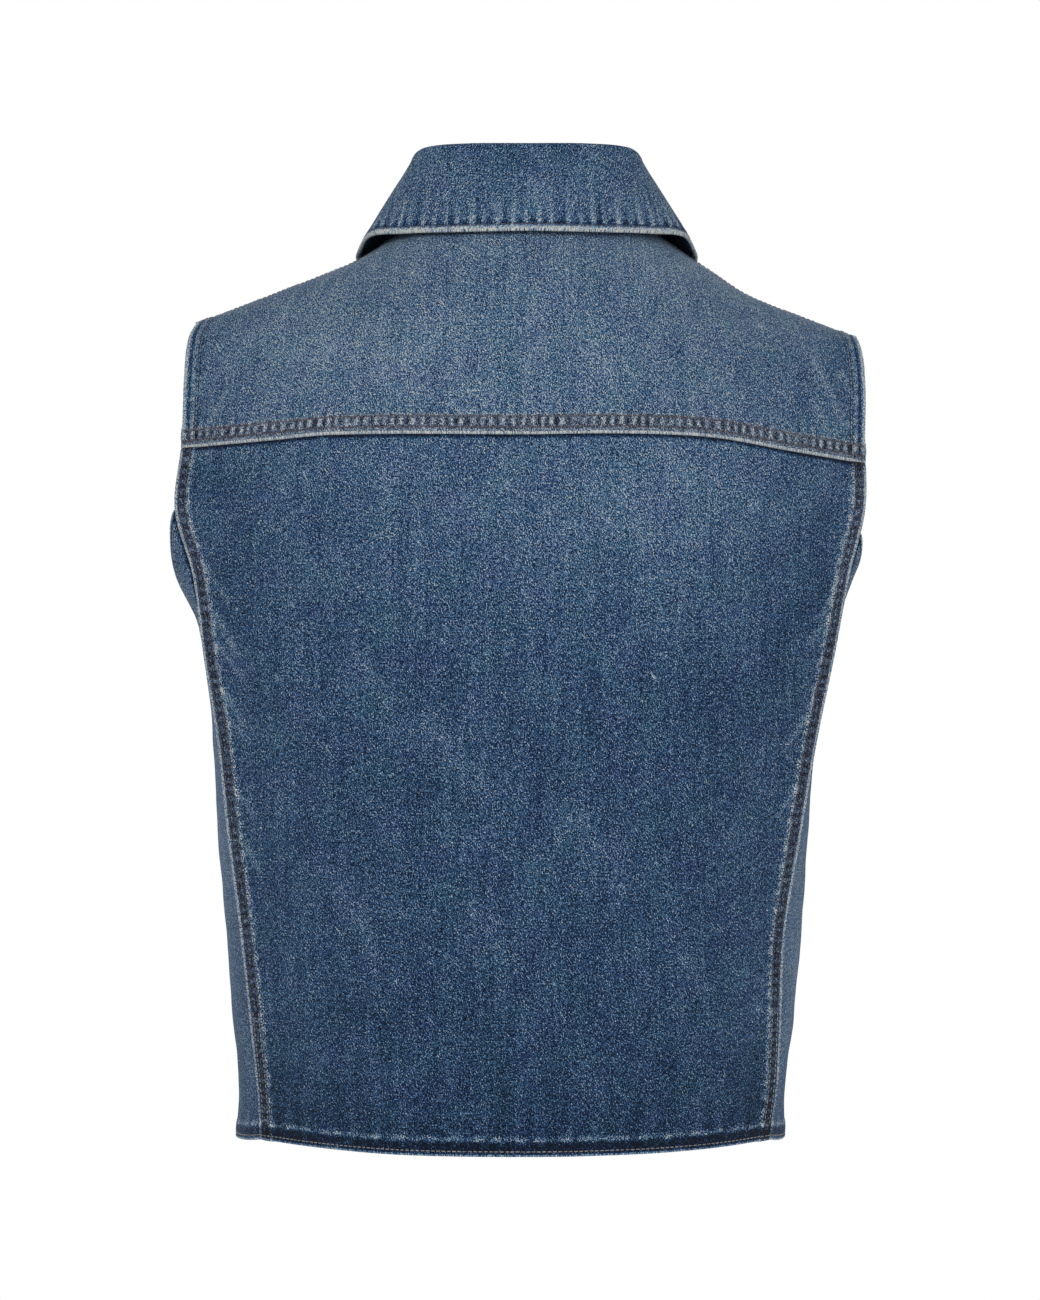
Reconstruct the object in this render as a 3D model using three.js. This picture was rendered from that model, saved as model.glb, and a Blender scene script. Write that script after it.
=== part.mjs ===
// A sleeveless denim vest in its worn shape with nobody in it: back yoke, back panel, two side
// panels, two buttoned fronts and a turned-down collar.
// Millimetres, +Z up. The fronts face -Y, the back faces +Y, and +X is the wearer's left.
// The origin is at the base of the neck, level with the tops of the shoulders beside it.
import * as THREE from "three";

// Cloth and sewing
const CLOTH = 1.6;
const COLLAR_CLOTH = 2.2;
const SEAM_GAP = 0.4;
const FELL = { width: 10, rise: 0.9, slope: 1 };
const HEM = { width: 9.5, rise: 0.5, slope: 1 };
const ARMHOLE_TURN = { width: 9, rise: 0.5, slope: 1 };
const PLACKET = { width: 30, rise: 0.5, slope: 1.2 };

// Where the pieces end
const HEM_Z = -560;
const HEM_LIFT_AT_SEAM = 3;
const FRONT_OVERLAP = 14;
const UNDERLAP = { depth: 3.1, full: 22, start: 46 };
const ARMHOLE_BOTTOM_Z = -266;
const SEAM_TOP = { backLeft: -170, backRight: -184, front: -206 };

// The shoulder line that the cloth hangs over, and the neck hole cut in it
const NECK_X = -3;
const NECK = { halfWidth: 76, backTurn: 0.424, frontTurn: 1.1 };
const RIDGE = { y: 2, top: 27.3, fall: 0.3866, round: 30, neckRise: 13, neckSpread: 90 };
const LOW_SHOULDER = { drop: 9.2, start: 100, full: 148 };
const SHOULDER_SEAM_TURN = 0.2;
const BACK_ARCH = { middle: 165, tip: 100, power: 0.8 };
const FRONT_ARCH = { middle: 200, tip: 95, power: 1 };
const SHOULDER_HALF = 210;
const SECTION_POWER = 2.4;

// Grids of the panels, and the columns at which they turn from shoulder seam to neck
const ARC_OF_WIDTH = 1.1;
const GRID = {
  side: 13, sideColumns: 8, back: 20, aboveSeam: 2, yoke: 24, yokeRows: 10, front: 10, frontArmhole: 8,
};
const NECK_COLUMN = { yoke: 8, front: 8 };
const BAND_LENGTH = { yoke: 140, yokeWidth: 440, front: 205, frontArmhole: 170 };
const FRONT_SEAM_SHARE = 0.68;

// The body at each height. left and right are the half-widths of the back panel, at the armhole
// above and the seam below, and edgeY is how far behind the middle those edges lie. backY and
// frontY are the depths at the centre lines, and front and frontEdgeY place the outer edges of
// the fronts.
const LEVELS = [
  { z: -50, left: 200.5, right: 198.0, edgeY: 40, backY: 112, front: 200, frontEdgeY: 36, frontY: 92 },
  { z: -63, left: 206.0, right: 208.0, edgeY: 41, backY: 112, front: 206, frontEdgeY: 36, frontY: 95 },
  { z: -90, left: 207.7, right: 211.0, edgeY: 42, backY: 112, front: 205, frontEdgeY: 38, frontY: 101 },
  { z: -130, left: 208.5, right: 210.0, edgeY: 44, backY: 113, front: 199, frontEdgeY: 41, frontY: 108 },
  { z: -170, left: 212.0, right: 209.5, edgeY: 47, backY: 114, front: 194, frontEdgeY: 46, frontY: 114 },
  { z: -210, left: 200.8, right: 199.8, edgeY: 50, backY: 113, front: 191, frontEdgeY: 51, frontY: 117 },
  { z: -260, left: 194.0, right: 190.2, edgeY: 51, backY: 110, front: 188, frontEdgeY: 55, frontY: 118 },
  { z: -310, left: 186.0, right: 180.0, edgeY: 50, backY: 106, front: 184, frontEdgeY: 57, frontY: 116 },
  { z: -370, left: 179.6, right: 170.0, edgeY: 47, backY: 102, front: 179, frontEdgeY: 58, frontY: 112 },
  { z: -430, left: 172.1, right: 160.6, edgeY: 43, backY: 99, front: 173, frontEdgeY: 58, frontY: 109 },
  { z: -490, left: 166.0, right: 158.3, edgeY: 38, backY: 97, front: 167, frontEdgeY: 57, frontY: 107 },
  { z: -525, left: 162.5, right: 156.6, edgeY: 34, backY: 96, front: 163, frontEdgeY: 56, frontY: 106 },
  { z: -560, left: 160.4, right: 152.0, edgeY: 30, backY: 96, front: 161, frontEdgeY: 55, frontY: 106 },
];

// Half-widths at the middle of the side panels, which flare out at the armholes. A power under 1
// brings the width closer to their seams.
const SIDES = [
  { z: -170, left: 223, right: 214, power: 0.6 },
  { z: -188, left: 222, right: 213.5, power: 0.6 },
  { z: -200, left: 220.5, right: 210.5, power: 0.6 },
  { z: -212, left: 215.5, right: 203, power: 0.6 },
  { z: -225, left: 207, right: 197, power: 0.63 },
  { z: -237, left: 200, right: 193, power: 0.68 },
  { z: -250, left: 197.5, right: 193, power: 0.76 },
  { z: -266, left: 195.5, right: 191, power: 0.86 },
  { z: -285, left: 194, right: 185.8, power: 0.95 },
  { z: -310, left: 193, right: 182, power: 1 },
  { z: -370, left: 190, right: 179, power: 1 },
  { z: -430, left: 185.5, right: 175, power: 1 },
  { z: -490, left: 180.5, right: 169.5, power: 1 },
  { z: -525, left: 177.5, right: 165, power: 1 },
  { z: -560, left: 179, right: 164.5, power: 1 },
];

// Height of the seam between yoke and back panel, from the wearer's right to the left
const YOKE_SEAM = [
  { x: -215, z: -141.5 },
  { x: -162, z: -134.2 },
  { x: -115, z: -127.2 },
  { x: -60, z: -125.5 },
  { x: 0, z: -126.2 },
  { x: 115, z: -125.6 },
  { x: 150, z: -128.0 },
  { x: 180, z: -129.8 },
  { x: 215, z: -131.8 },
];

// The collar at angles round the neck from the centre back: its folded top, and its free edge
const COLLAR = [
  { angle: 0, foldX: 0, foldY: 56, foldZ: 52.5, edgeX: 0, edgeY: 78, edgeZ: -1.5 },
  { angle: 30, foldX: 39, foldY: 49.5, foldZ: 53, edgeX: 44, edgeY: 69, edgeZ: -1.5 },
  { angle: 55, foldX: 62, foldY: 33, foldZ: 52.5, edgeX: 77, edgeY: 50, edgeZ: -0.5 },
  { angle: 75, foldX: 68, foldY: 16, foldZ: 47.5, edgeX: 97, edgeY: 30, edgeZ: -0.5 },
  { angle: 90, foldX: 68.5, foldY: 2, foldZ: 41, edgeX: 104.5, edgeY: 9, edgeZ: -9 },
  { angle: 105, foldX: 67, foldY: -16, foldZ: 31, edgeX: 105, edgeY: -12, edgeZ: -15 },
  { angle: 125, foldX: 60, foldY: -39, foldZ: 13, edgeX: 100, edgeY: -50, edgeZ: -38 },
  { angle: 145, foldX: 43, foldY: -60, foldZ: -10, edgeX: 87, edgeY: -82, edgeZ: -72 },
  { angle: 162, foldX: 24, foldY: -74, foldZ: -28, edgeX: 68, edgeY: -100, edgeZ: -100 },
  { angle: 177, foldX: 5, foldY: -82, foldZ: -42, edgeX: 46, edgeY: -112, edgeZ: -122 },
];
const COLLAR_ROLL = 3.6;
const COLLAR_SEAM_GAP = 1.1;
const COLLAR_CLEARANCE = 2.9;
const COLLAR_SOFTNESS = 0.8;
const COLLAR_COLUMNS = 44;
const COLLAR_PROFILE = [0, 0.12, 0.24, 0.34, 0.38, 0.42, 0.46, 0.56, 0.67, 0.78, 0.89, 1];
const STAND_END = 0.34;
const LEAF_START = 0.46;

// Soft folds: each runs from (x1, z1) to (x2, z2) and stands out by depth, or sinks if negative
const FOLDS = [
  { side: "back", x1: 190, z1: -175, x2: 120, z2: -250, halfWidth: 22, depth: -2.0 },
  { side: "back", x1: 178, z1: -215, x2: 105, z2: -330, halfWidth: 24, depth: 1.8 },
  { side: "back", x1: -186, z1: -185, x2: -120, z2: -255, halfWidth: 22, depth: -2.2 },
  { side: "back", x1: -172, z1: -230, x2: -110, z2: -345, halfWidth: 26, depth: 1.8 },
  { side: "back", x1: 60, z1: -420, x2: 78, z2: -560, halfWidth: 26, depth: 1.6 },
  { side: "back", x1: -40, z1: -440, x2: -52, z2: -560, halfWidth: 24, depth: -1.8 },
  { side: "back", x1: -118, z1: -430, x2: -124, z2: -560, halfWidth: 22, depth: 1.8 },
  { side: "back", x1: 0, z1: -150, x2: -14, z2: -250, halfWidth: 30, depth: -1.2 },
  { side: "front", x1: 176, z1: -180, x2: 100, z2: -270, halfWidth: 24, depth: -2.2 },
  { side: "front", x1: 160, z1: -250, x2: 84, z2: -370, halfWidth: 28, depth: 2.0 },
  { side: "front", x1: -178, z1: -186, x2: -104, z2: -278, halfWidth: 24, depth: -2.0 },
  { side: "front", x1: -158, z1: -262, x2: -90, z2: -360, halfWidth: 26, depth: 2.2 },
  { side: "front", x1: 104, z1: -430, x2: 112, z2: -560, halfWidth: 26, depth: 1.8 },
  { side: "front", x1: -98, z1: -440, x2: -104, z2: -560, halfWidth: 24, depth: 1.8 },
];

const BUTTON = { radius: 8.5, height: 3.4, count: 6, top: -92, pitch: 89.6, sides: 16 };

const DENIM_LIGHT = 0x53697f;
const DENIM_DARK = 0x394e67;
const COLLAR_DENIM = 0x4b5d73;
const BUTTON_METAL = 0x8d8272;

const UP = new THREE.Vector3(0, 0, 1);
const DEGREES = 180 / Math.PI;
const NUDGE = 1e-3;

// A smooth curve through the rows of a table: columns are read at a value of its first column.
function smoothTable(rows, key) {
  const sorted = [...rows].sort((a, b) => a[key] - b[key]);
  const last = sorted.length - 1;
  const slope = (i, column) => {
    const before = sorted[Math.max(i - 1, 0)];
    const after = sorted[Math.min(i + 1, last)];
    return (after[column] - before[column]) / (after[key] - before[key]);
  };
  return (value, column) => {
    const at = THREE.MathUtils.clamp(value, sorted[0][key], sorted[last][key]);
    let i = 0;
    while (i < last - 1 && sorted[i + 1][key] < at) i++;
    const a = sorted[i];
    const b = sorted[i + 1];
    const step = b[key] - a[key];
    const u = (at - a[key]) / step;
    const h = u * u * (3 - 2 * u);
    return (
      a[column] * (1 - h) + b[column] * h +
      step * (u * (1 - u) * (1 - u) * slope(i, column) - u * u * (1 - u) * slope(i + 1, column))
    );
  };
}

const level = smoothTable(LEVELS, "z");
const sideLevel = smoothTable(SIDES, "z");
const yokeSeam = smoothTable(YOKE_SEAM, "x");
const lerp = THREE.MathUtils.lerp;
const smoothstep = THREE.MathUtils.smoothstep;

// Height of the shoulder line at x.
function ridgeZ(x) {
  const out = x - NECK_X;
  const slope = RIDGE.top - RIDGE.fall * Math.hypot(out, RIDGE.round);
  const neck = RIDGE.neckRise * Math.exp(-((out / RIDGE.neckSpread) ** 6));
  return slope + neck - LOW_SHOULDER.drop * smoothstep(-x, LOW_SHOULDER.start, LOW_SHOULDER.full);
}

function backEdge(side, z) {
  return side * level(z, side > 0 ? "left" : "right");
}

function sway(z) {
  return (level(z, "left") - level(z, "right")) / 2;
}

function frontEdge(side, z) {
  return side * level(z, "front") + sway(z);
}

// How far the soft folds move the cloth out at a point.
function foldAt(face, x, z) {
  let out = 0;
  for (const fold of FOLDS) {
    if (fold.side !== face) continue;
    const alongX = fold.x2 - fold.x1;
    const alongZ = fold.z2 - fold.z1;
    const length = Math.hypot(alongX, alongZ);
    const along = ((x - fold.x1) * alongX + (z - fold.z1) * alongZ) / length;
    const across = ((x - fold.x1) * alongZ - (z - fold.z1) * alongX) / length;
    const beyond = Math.max(0, -along, along - length);
    out += fold.depth * Math.exp(-((Math.hypot(across, beyond) / fold.halfWidth) ** 2));
  }
  return out;
}

// Depth of the back or the fronts where the cloth hangs clear of the shoulders.
function fullDepth(face, x, z) {
  const isBack = face === "back";
  const edge = isBack ? backEdge(Math.sign(x) || 1, z) : frontEdge(Math.sign(x) || 1, z);
  const edgeY = level(z, isBack ? "edgeY" : "frontEdgeY");
  const centreY = level(z, isBack ? "backY" : "frontY");
  const crown = 1 - Math.abs(x / edge) ** SECTION_POWER;
  return (isBack ? 1 : -1) * (edgeY + (centreY - edgeY) * crown + foldAt(face, x, z));
}

function archOf(face) {
  return face === "back" ? BACK_ARCH : FRONT_ARCH;
}

function archSpan(face, x) {
  return lerp(archOf(face).middle, archOf(face).tip, (x / SHOULDER_HALF) ** 2);
}

// A point of the body at x and at a turn over the shoulder: 0 is the shoulder line, positive
// turns go down the back and negative ones down the front, and a quarter turn ends the arch.
function body(x, turn) {
  const face = turn >= 0 ? "back" : "front";
  const curved = Math.min(Math.abs(turn), Math.PI / 2);
  const hanging = Math.abs(turn) - curved;
  const z = ridgeZ(x) - archSpan(face, x) * (1 - Math.cos(curved) + hanging);
  const share = Math.sin(curved) ** archOf(face).power;
  return new THREE.Vector3(x, lerp(RIDGE.y, fullDepth(face, x, z), share), z);
}

// The turn at which the body reaches a height.
function turnAt(face, x, z) {
  const share = (ridgeZ(x) - z) / archSpan(face, x);
  const turn = share < 1 ? Math.acos(Math.max(-1, 1 - share)) : Math.PI / 2 + share - 1;
  return face === "back" ? turn : -turn;
}

function neckPoint(angle) {
  const turn = Math.cos(angle) * (Math.cos(angle) > 0 ? NECK.backTurn : NECK.frontTurn);
  return { x: NECK_X + NECK.halfWidth * Math.sin(angle), turn };
}

const SHOULDER_ANGLE = Math.PI / 2;

// The armhole edge or seam of the back or a front, at a turn.
function edgeAtTurn(face, side, turn) {
  const edge = face === "back" ? backEdge : frontEdge;
  let x = side * SHOULDER_HALF;
  for (let i = 0; i < 3; i++) x = edge(side, body(x, turn).z);
  return { x, turn };
}

function mix(a, b, share) {
  return { x: lerp(a.x, b.x, share), turn: lerp(a.turn, b.turn, share) };
}

// The outward direction of the body.
function bodyNormal(x, turn) {
  const alongX = body(x + 0.5, turn).sub(body(x - 0.5, turn));
  const alongTurn = body(x, turn + 0.004).sub(body(x, turn - 0.004));
  return alongX.cross(alongTurn).normalize();
}

// Rows or columns of a grid: some at real distances from its start and its end, and evenly
// spaced ones between them. Each is a share of the way and a distance added to it.
function gridLines(count, startInsets, endInsets) {
  const lines = startInsets.map((inset) => ({ share: 0, inset }));
  const first = startInsets[startInsets.length - 1] || 0;
  const last = endInsets[endInsets.length - 1] || 0;
  for (let i = 1; i < count; i++) {
    lines.push({ share: i / count, inset: lerp(first, -last, i / count) });
  }
  return [...lines, ...endInsets.map((inset) => ({ share: 1, inset: -inset })).reverse()];
}

function lineAt(line, from, to) {
  return lerp(from, to, line.share) + Math.sign(to - from) * line.inset;
}

// The share of the way of a line across a panel of a given width.
function shareOf(line, width) {
  return line.share + line.inset / width;
}

function bandInsets(band, gap) {
  return [gap, band.width, band.width + band.slope];
}

// Rows that a side panel shares with the panels sewn to it
const SIDE_ROWS = gridLines(GRID.side, bandInsets(HEM, 0), bandInsets(ARMHOLE_TURN, 0));

// Grids between four edges on the body. starts and ends hold the edges' points for each row.
function bodyGrid(columns, rows, bottom, top, starts, ends) {
  return columns.map((s) => rows.map((t, j) => {
    const across = mix(bottom(s), top(s), t);
    const up = mix(starts[j], ends[j], s);
    const corners = mix(mix(bottom(0), bottom(1), s), mix(top(0), top(1), s), t);
    return { x: across.x + up.x - corners.x, turn: across.turn + up.turn - corners.turn };
  }));
}

// The seam between the yoke and the back panel, s from the wearer's right to the left.
function yokeSeamEdge(s) {
  const right = backEdge(-1, yokeSeam(-SHOULDER_HALF, "z"));
  const left = backEdge(1, yokeSeam(SHOULDER_HALF, "z"));
  const x = lerp(right, left, s);
  return { x, turn: turnAt("back", x, yokeSeam(x, "z")) };
}

// The yoke's upper edge: right shoulder seam, back of the neck, left shoulder seam. The neck
// takes up the share neckShare in the middle.
function yokeTop(s, neckShare) {
  const half = Math.abs(2 * s - 1);
  const side = s < 0.5 ? -1 : 1;
  if (half <= neckShare) return neckPoint((side * half * SHOULDER_ANGLE) / neckShare);
  const tip = edgeAtTurn("front", side, -SHOULDER_SEAM_TURN);
  return mix(neckPoint(side * SHOULDER_ANGLE), tip, (half - neckShare) / (1 - neckShare));
}

// The armhole edge of the yoke, from its back seam over the shoulder to its front seam.
function yokeArmhole(side, t) {
  const turn = lerp(yokeSeamEdge(side > 0 ? 1 : 0).turn, -SHOULDER_SEAM_TURN, t);
  return edgeAtTurn(turn >= 0 ? "back" : "front", side, turn);
}

// A wall of cloth on the body. rise gives the height of its bands, and seam the direction in
// which an edge sewn to a side panel is cut.
function bodyWall(grid, rise, seam) {
  return wallGeometry(grid.map((column, i) => column.map(({ x, turn, push = 0 }, j) => {
    const surface = bodyNormal(x, turn);
    const point = body(x, turn).addScaledVector(surface, push);
    return { point, normal: seam(i, point.z) || surface, rise: rise(i, j, point.z) };
  })), CLOTH);
}

// A side panel, u from the back seam to the front seam.
function sideSurface(side, u, z) {
  const back = body(backEdge(side, z), turnAt("back", backEdge(side, z), z));
  const front = body(frontEdge(side, z), turnAt("front", frontEdge(side, z), z));
  const bulge = side * sideLevel(z, side > 0 ? "left" : "right") - (back.x + front.x) / 2;
  const belly = Math.max(0, 4 * u * (1 - u)) ** sideLevel(z, "power");
  return new THREE.Vector3(
    lerp(back.x, front.x, u) + belly * bulge,
    lerp(back.y, front.y, u),
    z,
  );
}

function sideNormal(side, u, z) {
  const alongU = sideSurface(side, u + NUDGE, z).sub(sideSurface(side, u - NUDGE, z));
  const alongZ = sideSurface(side, u, z + 0.5).sub(sideSurface(side, u, z - 0.5));
  return alongU.cross(alongZ).normalize().multiplyScalar(-side);
}

function seamTop(side) {
  return side > 0 ? SEAM_TOP.backLeft : SEAM_TOP.backRight;
}

// Height of the top of a side panel, round the bottom of the armhole.
function armholeZ(side, u) {
  const dip = (seamTop(side) + SEAM_TOP.front) / 2 - ARMHOLE_BOTTOM_Z;
  return lerp(seamTop(side), SEAM_TOP.front, u) - dip * Math.sin(Math.PI * u);
}

// Halfway between the outward directions of a side panel and the panel it is sewn to.
function mitre(face, side, z) {
  const x = face === "back" ? backEdge(side, z) : frontEdge(side, z);
  const panel = bodyNormal(x, turnAt(face, x, z));
  return panel.add(sideNormal(side, face === "back" ? 0 : 1, z)).normalize();
}

// A closed wall of cloth round a grid of points, each with its outward direction and rise.
function wallGeometry(grid, thickness) {
  const [a, b, c] = [grid[0][0], grid[1][0], grid[0][1]].map((cell) => cell.point.clone());
  const facing = b.sub(a).cross(c.sub(a)).dot(grid[0][0].normal);
  const turned = facing > 0 ? grid : [...grid].reverse();
  const columns = turned.length;
  const rows = turned[0].length;
  const positions = [];
  const indices = [];
  for (const outer of [true, false]) {
    for (const { point, normal, rise } of turned.flat()) {
      const p = point.clone().addScaledVector(normal, outer ? rise : -thickness);
      positions.push(p.x, p.y, p.z);
    }
  }
  const id = (layer, i, j) => (layer * columns + i) * rows + j;
  const quad = (p, q, r, s) => indices.push(p, q, r, p, r, s);
  for (let i = 0; i < columns - 1; i++) {
    for (let j = 0; j < rows - 1; j++) {
      quad(id(0, i, j), id(0, i + 1, j), id(0, i + 1, j + 1), id(0, i, j + 1));
      quad(id(1, i, j), id(1, i, j + 1), id(1, i + 1, j + 1), id(1, i + 1, j));
    }
    quad(id(1, i, 0), id(1, i + 1, 0), id(0, i + 1, 0), id(0, i, 0));
    quad(id(0, i, rows - 1), id(0, i + 1, rows - 1), id(1, i + 1, rows - 1), id(1, i, rows - 1));
  }
  const end = columns - 1;
  for (let j = 0; j < rows - 1; j++) {
    quad(id(0, 0, j), id(0, 0, j + 1), id(1, 0, j + 1), id(1, 0, j));
    quad(id(1, end, j), id(1, end, j + 1), id(0, end, j + 1), id(0, end, j));
  }
  const geometry = new THREE.BufferGeometry();
  geometry.setAttribute("position", new THREE.Float32BufferAttribute(positions, 3));
  geometry.setIndex(indices);
  geometry.computeVertexNormals();
  return geometry;
}

function denim(color) {
  return new THREE.MeshStandardMaterial({ color, roughness: 0.92, metalness: 0 });
}

const vest = new THREE.Group();
vest.name = "denim_vest";

function addPiece(name, geometry, material) {
  const mesh = new THREE.Mesh(geometry, material);
  mesh.name = name;
  vest.add(mesh);
  return mesh;
}

function addBackPanel() {
  const columns = gridLines(GRID.back, bandInsets(FELL, SEAM_GAP), bandInsets(FELL, SEAM_GAP));
  const rows = SIDE_ROWS.map((line) => ({ line, above: false }));
  for (const line of gridLines(GRID.aboveSeam, [], [SEAM_GAP])) rows.push({ line, above: true });
  const grid = columns.map((column) => {
    const across = shareOf(column, 2 * SHOULDER_HALF);
    const edge = yokeSeamEdge(across);
    const hem = HEM_Z + HEM_LIFT_AT_SEAM * Math.abs(2 * across - 1) ** 3;
    const middle = lerp(SEAM_TOP.backRight, SEAM_TOP.backLeft, across);
    const top = body(edge.x, edge.turn).z;
    return rows.map(({ line, above }) => {
      const z = above ? lineAt(line, middle, top) : lineAt(line, hem, middle);
      const width = ARC_OF_WIDTH * (level(z, "left") + level(z, "right"));
      const x = lerp(backEdge(-1, z), backEdge(1, z), shareOf(column, width));
      return { x, turn: turnAt("back", x, z) };
    });
  });
  const atSide = (i) => i < 2 || i > columns.length - 3;
  const rise = (i, j) => (atSide(i) ? FELL.rise : j < 2 ? HEM.rise : 0);
  const seam = (i, z) => {
    const side = i === 0 ? -1 : 1;
    const isEdge = i === 0 || i === columns.length - 1;
    return isEdge && z < seamTop(side) + 1 ? mitre("back", side, z) : null;
  };
  addPiece("back_panel", bodyWall(grid, rise, seam), denim(DENIM_DARK));
}

function addYoke() {
  const columns = gridLines(GRID.yoke, bandInsets(ARMHOLE_TURN, 0), bandInsets(ARMHOLE_TURN, 0));
  const rows = gridLines(GRID.yokeRows, bandInsets(FELL, 0), [SEAM_GAP]);
  const s = columns.map((line) => shareOf(line, BAND_LENGTH.yokeWidth));
  const t = rows.map((line) => shareOf(line, BAND_LENGTH.yoke));
  const starts = t.map((share) => yokeArmhole(-1, share));
  const ends = t.map((share) => yokeArmhole(1, share));
  const top = (share) => yokeTop(share, 1 - 2 * s[NECK_COLUMN.yoke]);
  const grid = bodyGrid(s, t, yokeSeamEdge, top, starts, ends);
  const rise = (i, j) => {
    if (j < 2) return FELL.rise;
    return i < 2 || i > s.length - 3 ? ARMHOLE_TURN.rise : 0;
  };
  addPiece("back_yoke", bodyWall(grid, rise, () => null), denim(DENIM_LIGHT));
}

function addSidePanel(name, side) {
  const columns = gridLines(GRID.sideColumns, [0], [0]);
  const grid = columns.map(({ share }, i) => {
    const u = (1 - Math.cos(Math.PI * share)) / 2;
    const hem = HEM_Z + HEM_LIFT_AT_SEAM * Math.abs(2 * u - 1) ** 3;
    return SIDE_ROWS.map((line, j) => {
      const z = lineAt(line, hem, armholeZ(side, u));
      const atSeam = i === 0 || i === columns.length - 1;
      return {
        point: sideSurface(side, u, z),
        normal: atSeam ? mitre(i === 0 ? "back" : "front", side, z) : sideNormal(side, u, z),
        rise: !atSeam && (j < 2 || j > SIDE_ROWS.length - 3) ? HEM.rise : 0,
      };
    });
  });
  addPiece(name, wallGeometry(grid, CLOTH), denim(DENIM_DARK));
}

// A front, from its outer edge to its button edge at endX.
function addFront(name, side, endX) {
  const columns = gridLines(GRID.front, bandInsets(FELL, SEAM_GAP), bandInsets(PLACKET, 0));
  const s = columns.map((line) => shareOf(line, BAND_LENGTH.front));
  const shoulderShare = s[NECK_COLUMN.front];
  const neckEnd = Math.PI - Math.asin((side * (endX - NECK_X)) / NECK.halfWidth);
  const hemZ = (x) => HEM_Z + HEM_LIFT_AT_SEAM * Math.abs(x / frontEdge(side, HEM_Z)) ** 3;
  const bottom = (share) => {
    const x = lerp(frontEdge(side, HEM_Z), endX, share);
    return { x, turn: turnAt("front", x, hemZ(x)) };
  };
  const tip = edgeAtTurn("front", side, -SHOULDER_SEAM_TURN);
  const top = (share) => {
    if (share < shoulderShare) {
      return mix(tip, neckPoint(side * SHOULDER_ANGLE), share / shoulderShare);
    }
    const along = (share - shoulderShare) / (1 - shoulderShare);
    return neckPoint(side * lerp(SHOULDER_ANGLE, neckEnd, along));
  };
  const starts = [];
  const ends = [];
  const endHem = hemZ(endX);
  const neckTurn = neckPoint(neckEnd).turn;
  const endTop = body(endX, neckTurn).z;
  const endMiddle = lerp(endHem, endTop, FRONT_SEAM_SHARE);
  for (const line of SIDE_ROWS) {
    const z = lineAt(line, HEM_Z + HEM_LIFT_AT_SEAM, SEAM_TOP.front);
    const x = frontEdge(side, z);
    starts.push({ x, turn: turnAt("front", x, z) });
    ends.push({ x: endX, turn: turnAt("front", endX, lineAt(line, endHem, endMiddle)) });
  }
  const low = starts[starts.length - 1].turn;
  const endLow = ends[ends.length - 1].turn;
  for (const line of gridLines(GRID.frontArmhole, [], [SEAM_GAP])) {
    const share = shareOf(line, BAND_LENGTH.frontArmhole);
    starts.push(edgeAtTurn("front", side, lerp(low, -SHOULDER_SEAM_TURN, share)));
    ends.push({ x: endX, turn: lerp(endLow, neckTurn, share) });
  }
  const t = starts.map((at) => (at.turn - starts[0].turn) / (-SHOULDER_SEAM_TURN - starts[0].turn));
  const grid = bodyGrid(s, t, bottom, top, starts, ends);
  // The left front passes under the right one at the centre.
  if (side > 0) {
    for (const at of grid.flat()) {
      at.push = -UNDERLAP.depth * smoothstep(-at.x, -UNDERLAP.start, -UNDERLAP.full);
    }
  }
  const rise = (i, j, z) => {
    if (i < 2) return z < SEAM_TOP.front ? FELL.rise : ARMHOLE_TURN.rise;
    return j < 2 ? HEM.rise : i > columns.length - 3 ? PLACKET.rise : 0;
  };
  const seam = (i, z) => (i === 0 && z < SEAM_TOP.front + 1 ? mitre("front", side, z) : null);
  addPiece(name, bodyWall(grid, rise, seam), denim(DENIM_DARK));
}

const collarColumn = smoothTable(
  [
    ...COLLAR.slice(1).map((row) => ({
      ...row,
      angle: -row.angle,
      foldX: -row.foldX,
      edgeX: -row.edgeX,
    })),
    ...COLLAR,
  ],
  "angle",
);

function collarFold(angle) {
  const at = (column) => collarColumn(angle, column);
  return new THREE.Vector3(NECK_X + at("foldX"), at("foldY"), at("foldZ"));
}

// Moves a point out along the body's outward direction until it is clear of the body.
function settle(point, clearance) {
  let turn = 0;
  for (const step of [0.1, 0.01, 0.001]) {
    const from = turn;
    for (let i = -24; i <= 24; i++) {
      const tried = from + i * step;
      const isNearer = body(point.x, tried).distanceTo(point) < body(point.x, turn).distanceTo(point);
      if (isNearer) turn = tried;
    }
  }
  const normal = bodyNormal(point.x, turn);
  const height = point.clone().sub(body(point.x, turn)).dot(normal);
  const missing = COLLAR_SOFTNESS * Math.log(1 + Math.exp((clearance - height) / COLLAR_SOFTNESS));
  return point.addScaledVector(normal, missing);
}

function quadratic(a, b, c, u) {
  return a
    .clone()
    .multiplyScalar((1 - u) ** 2)
    .addScaledVector(b, 2 * u * (1 - u))
    .addScaledVector(c, u * u);
}

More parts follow.
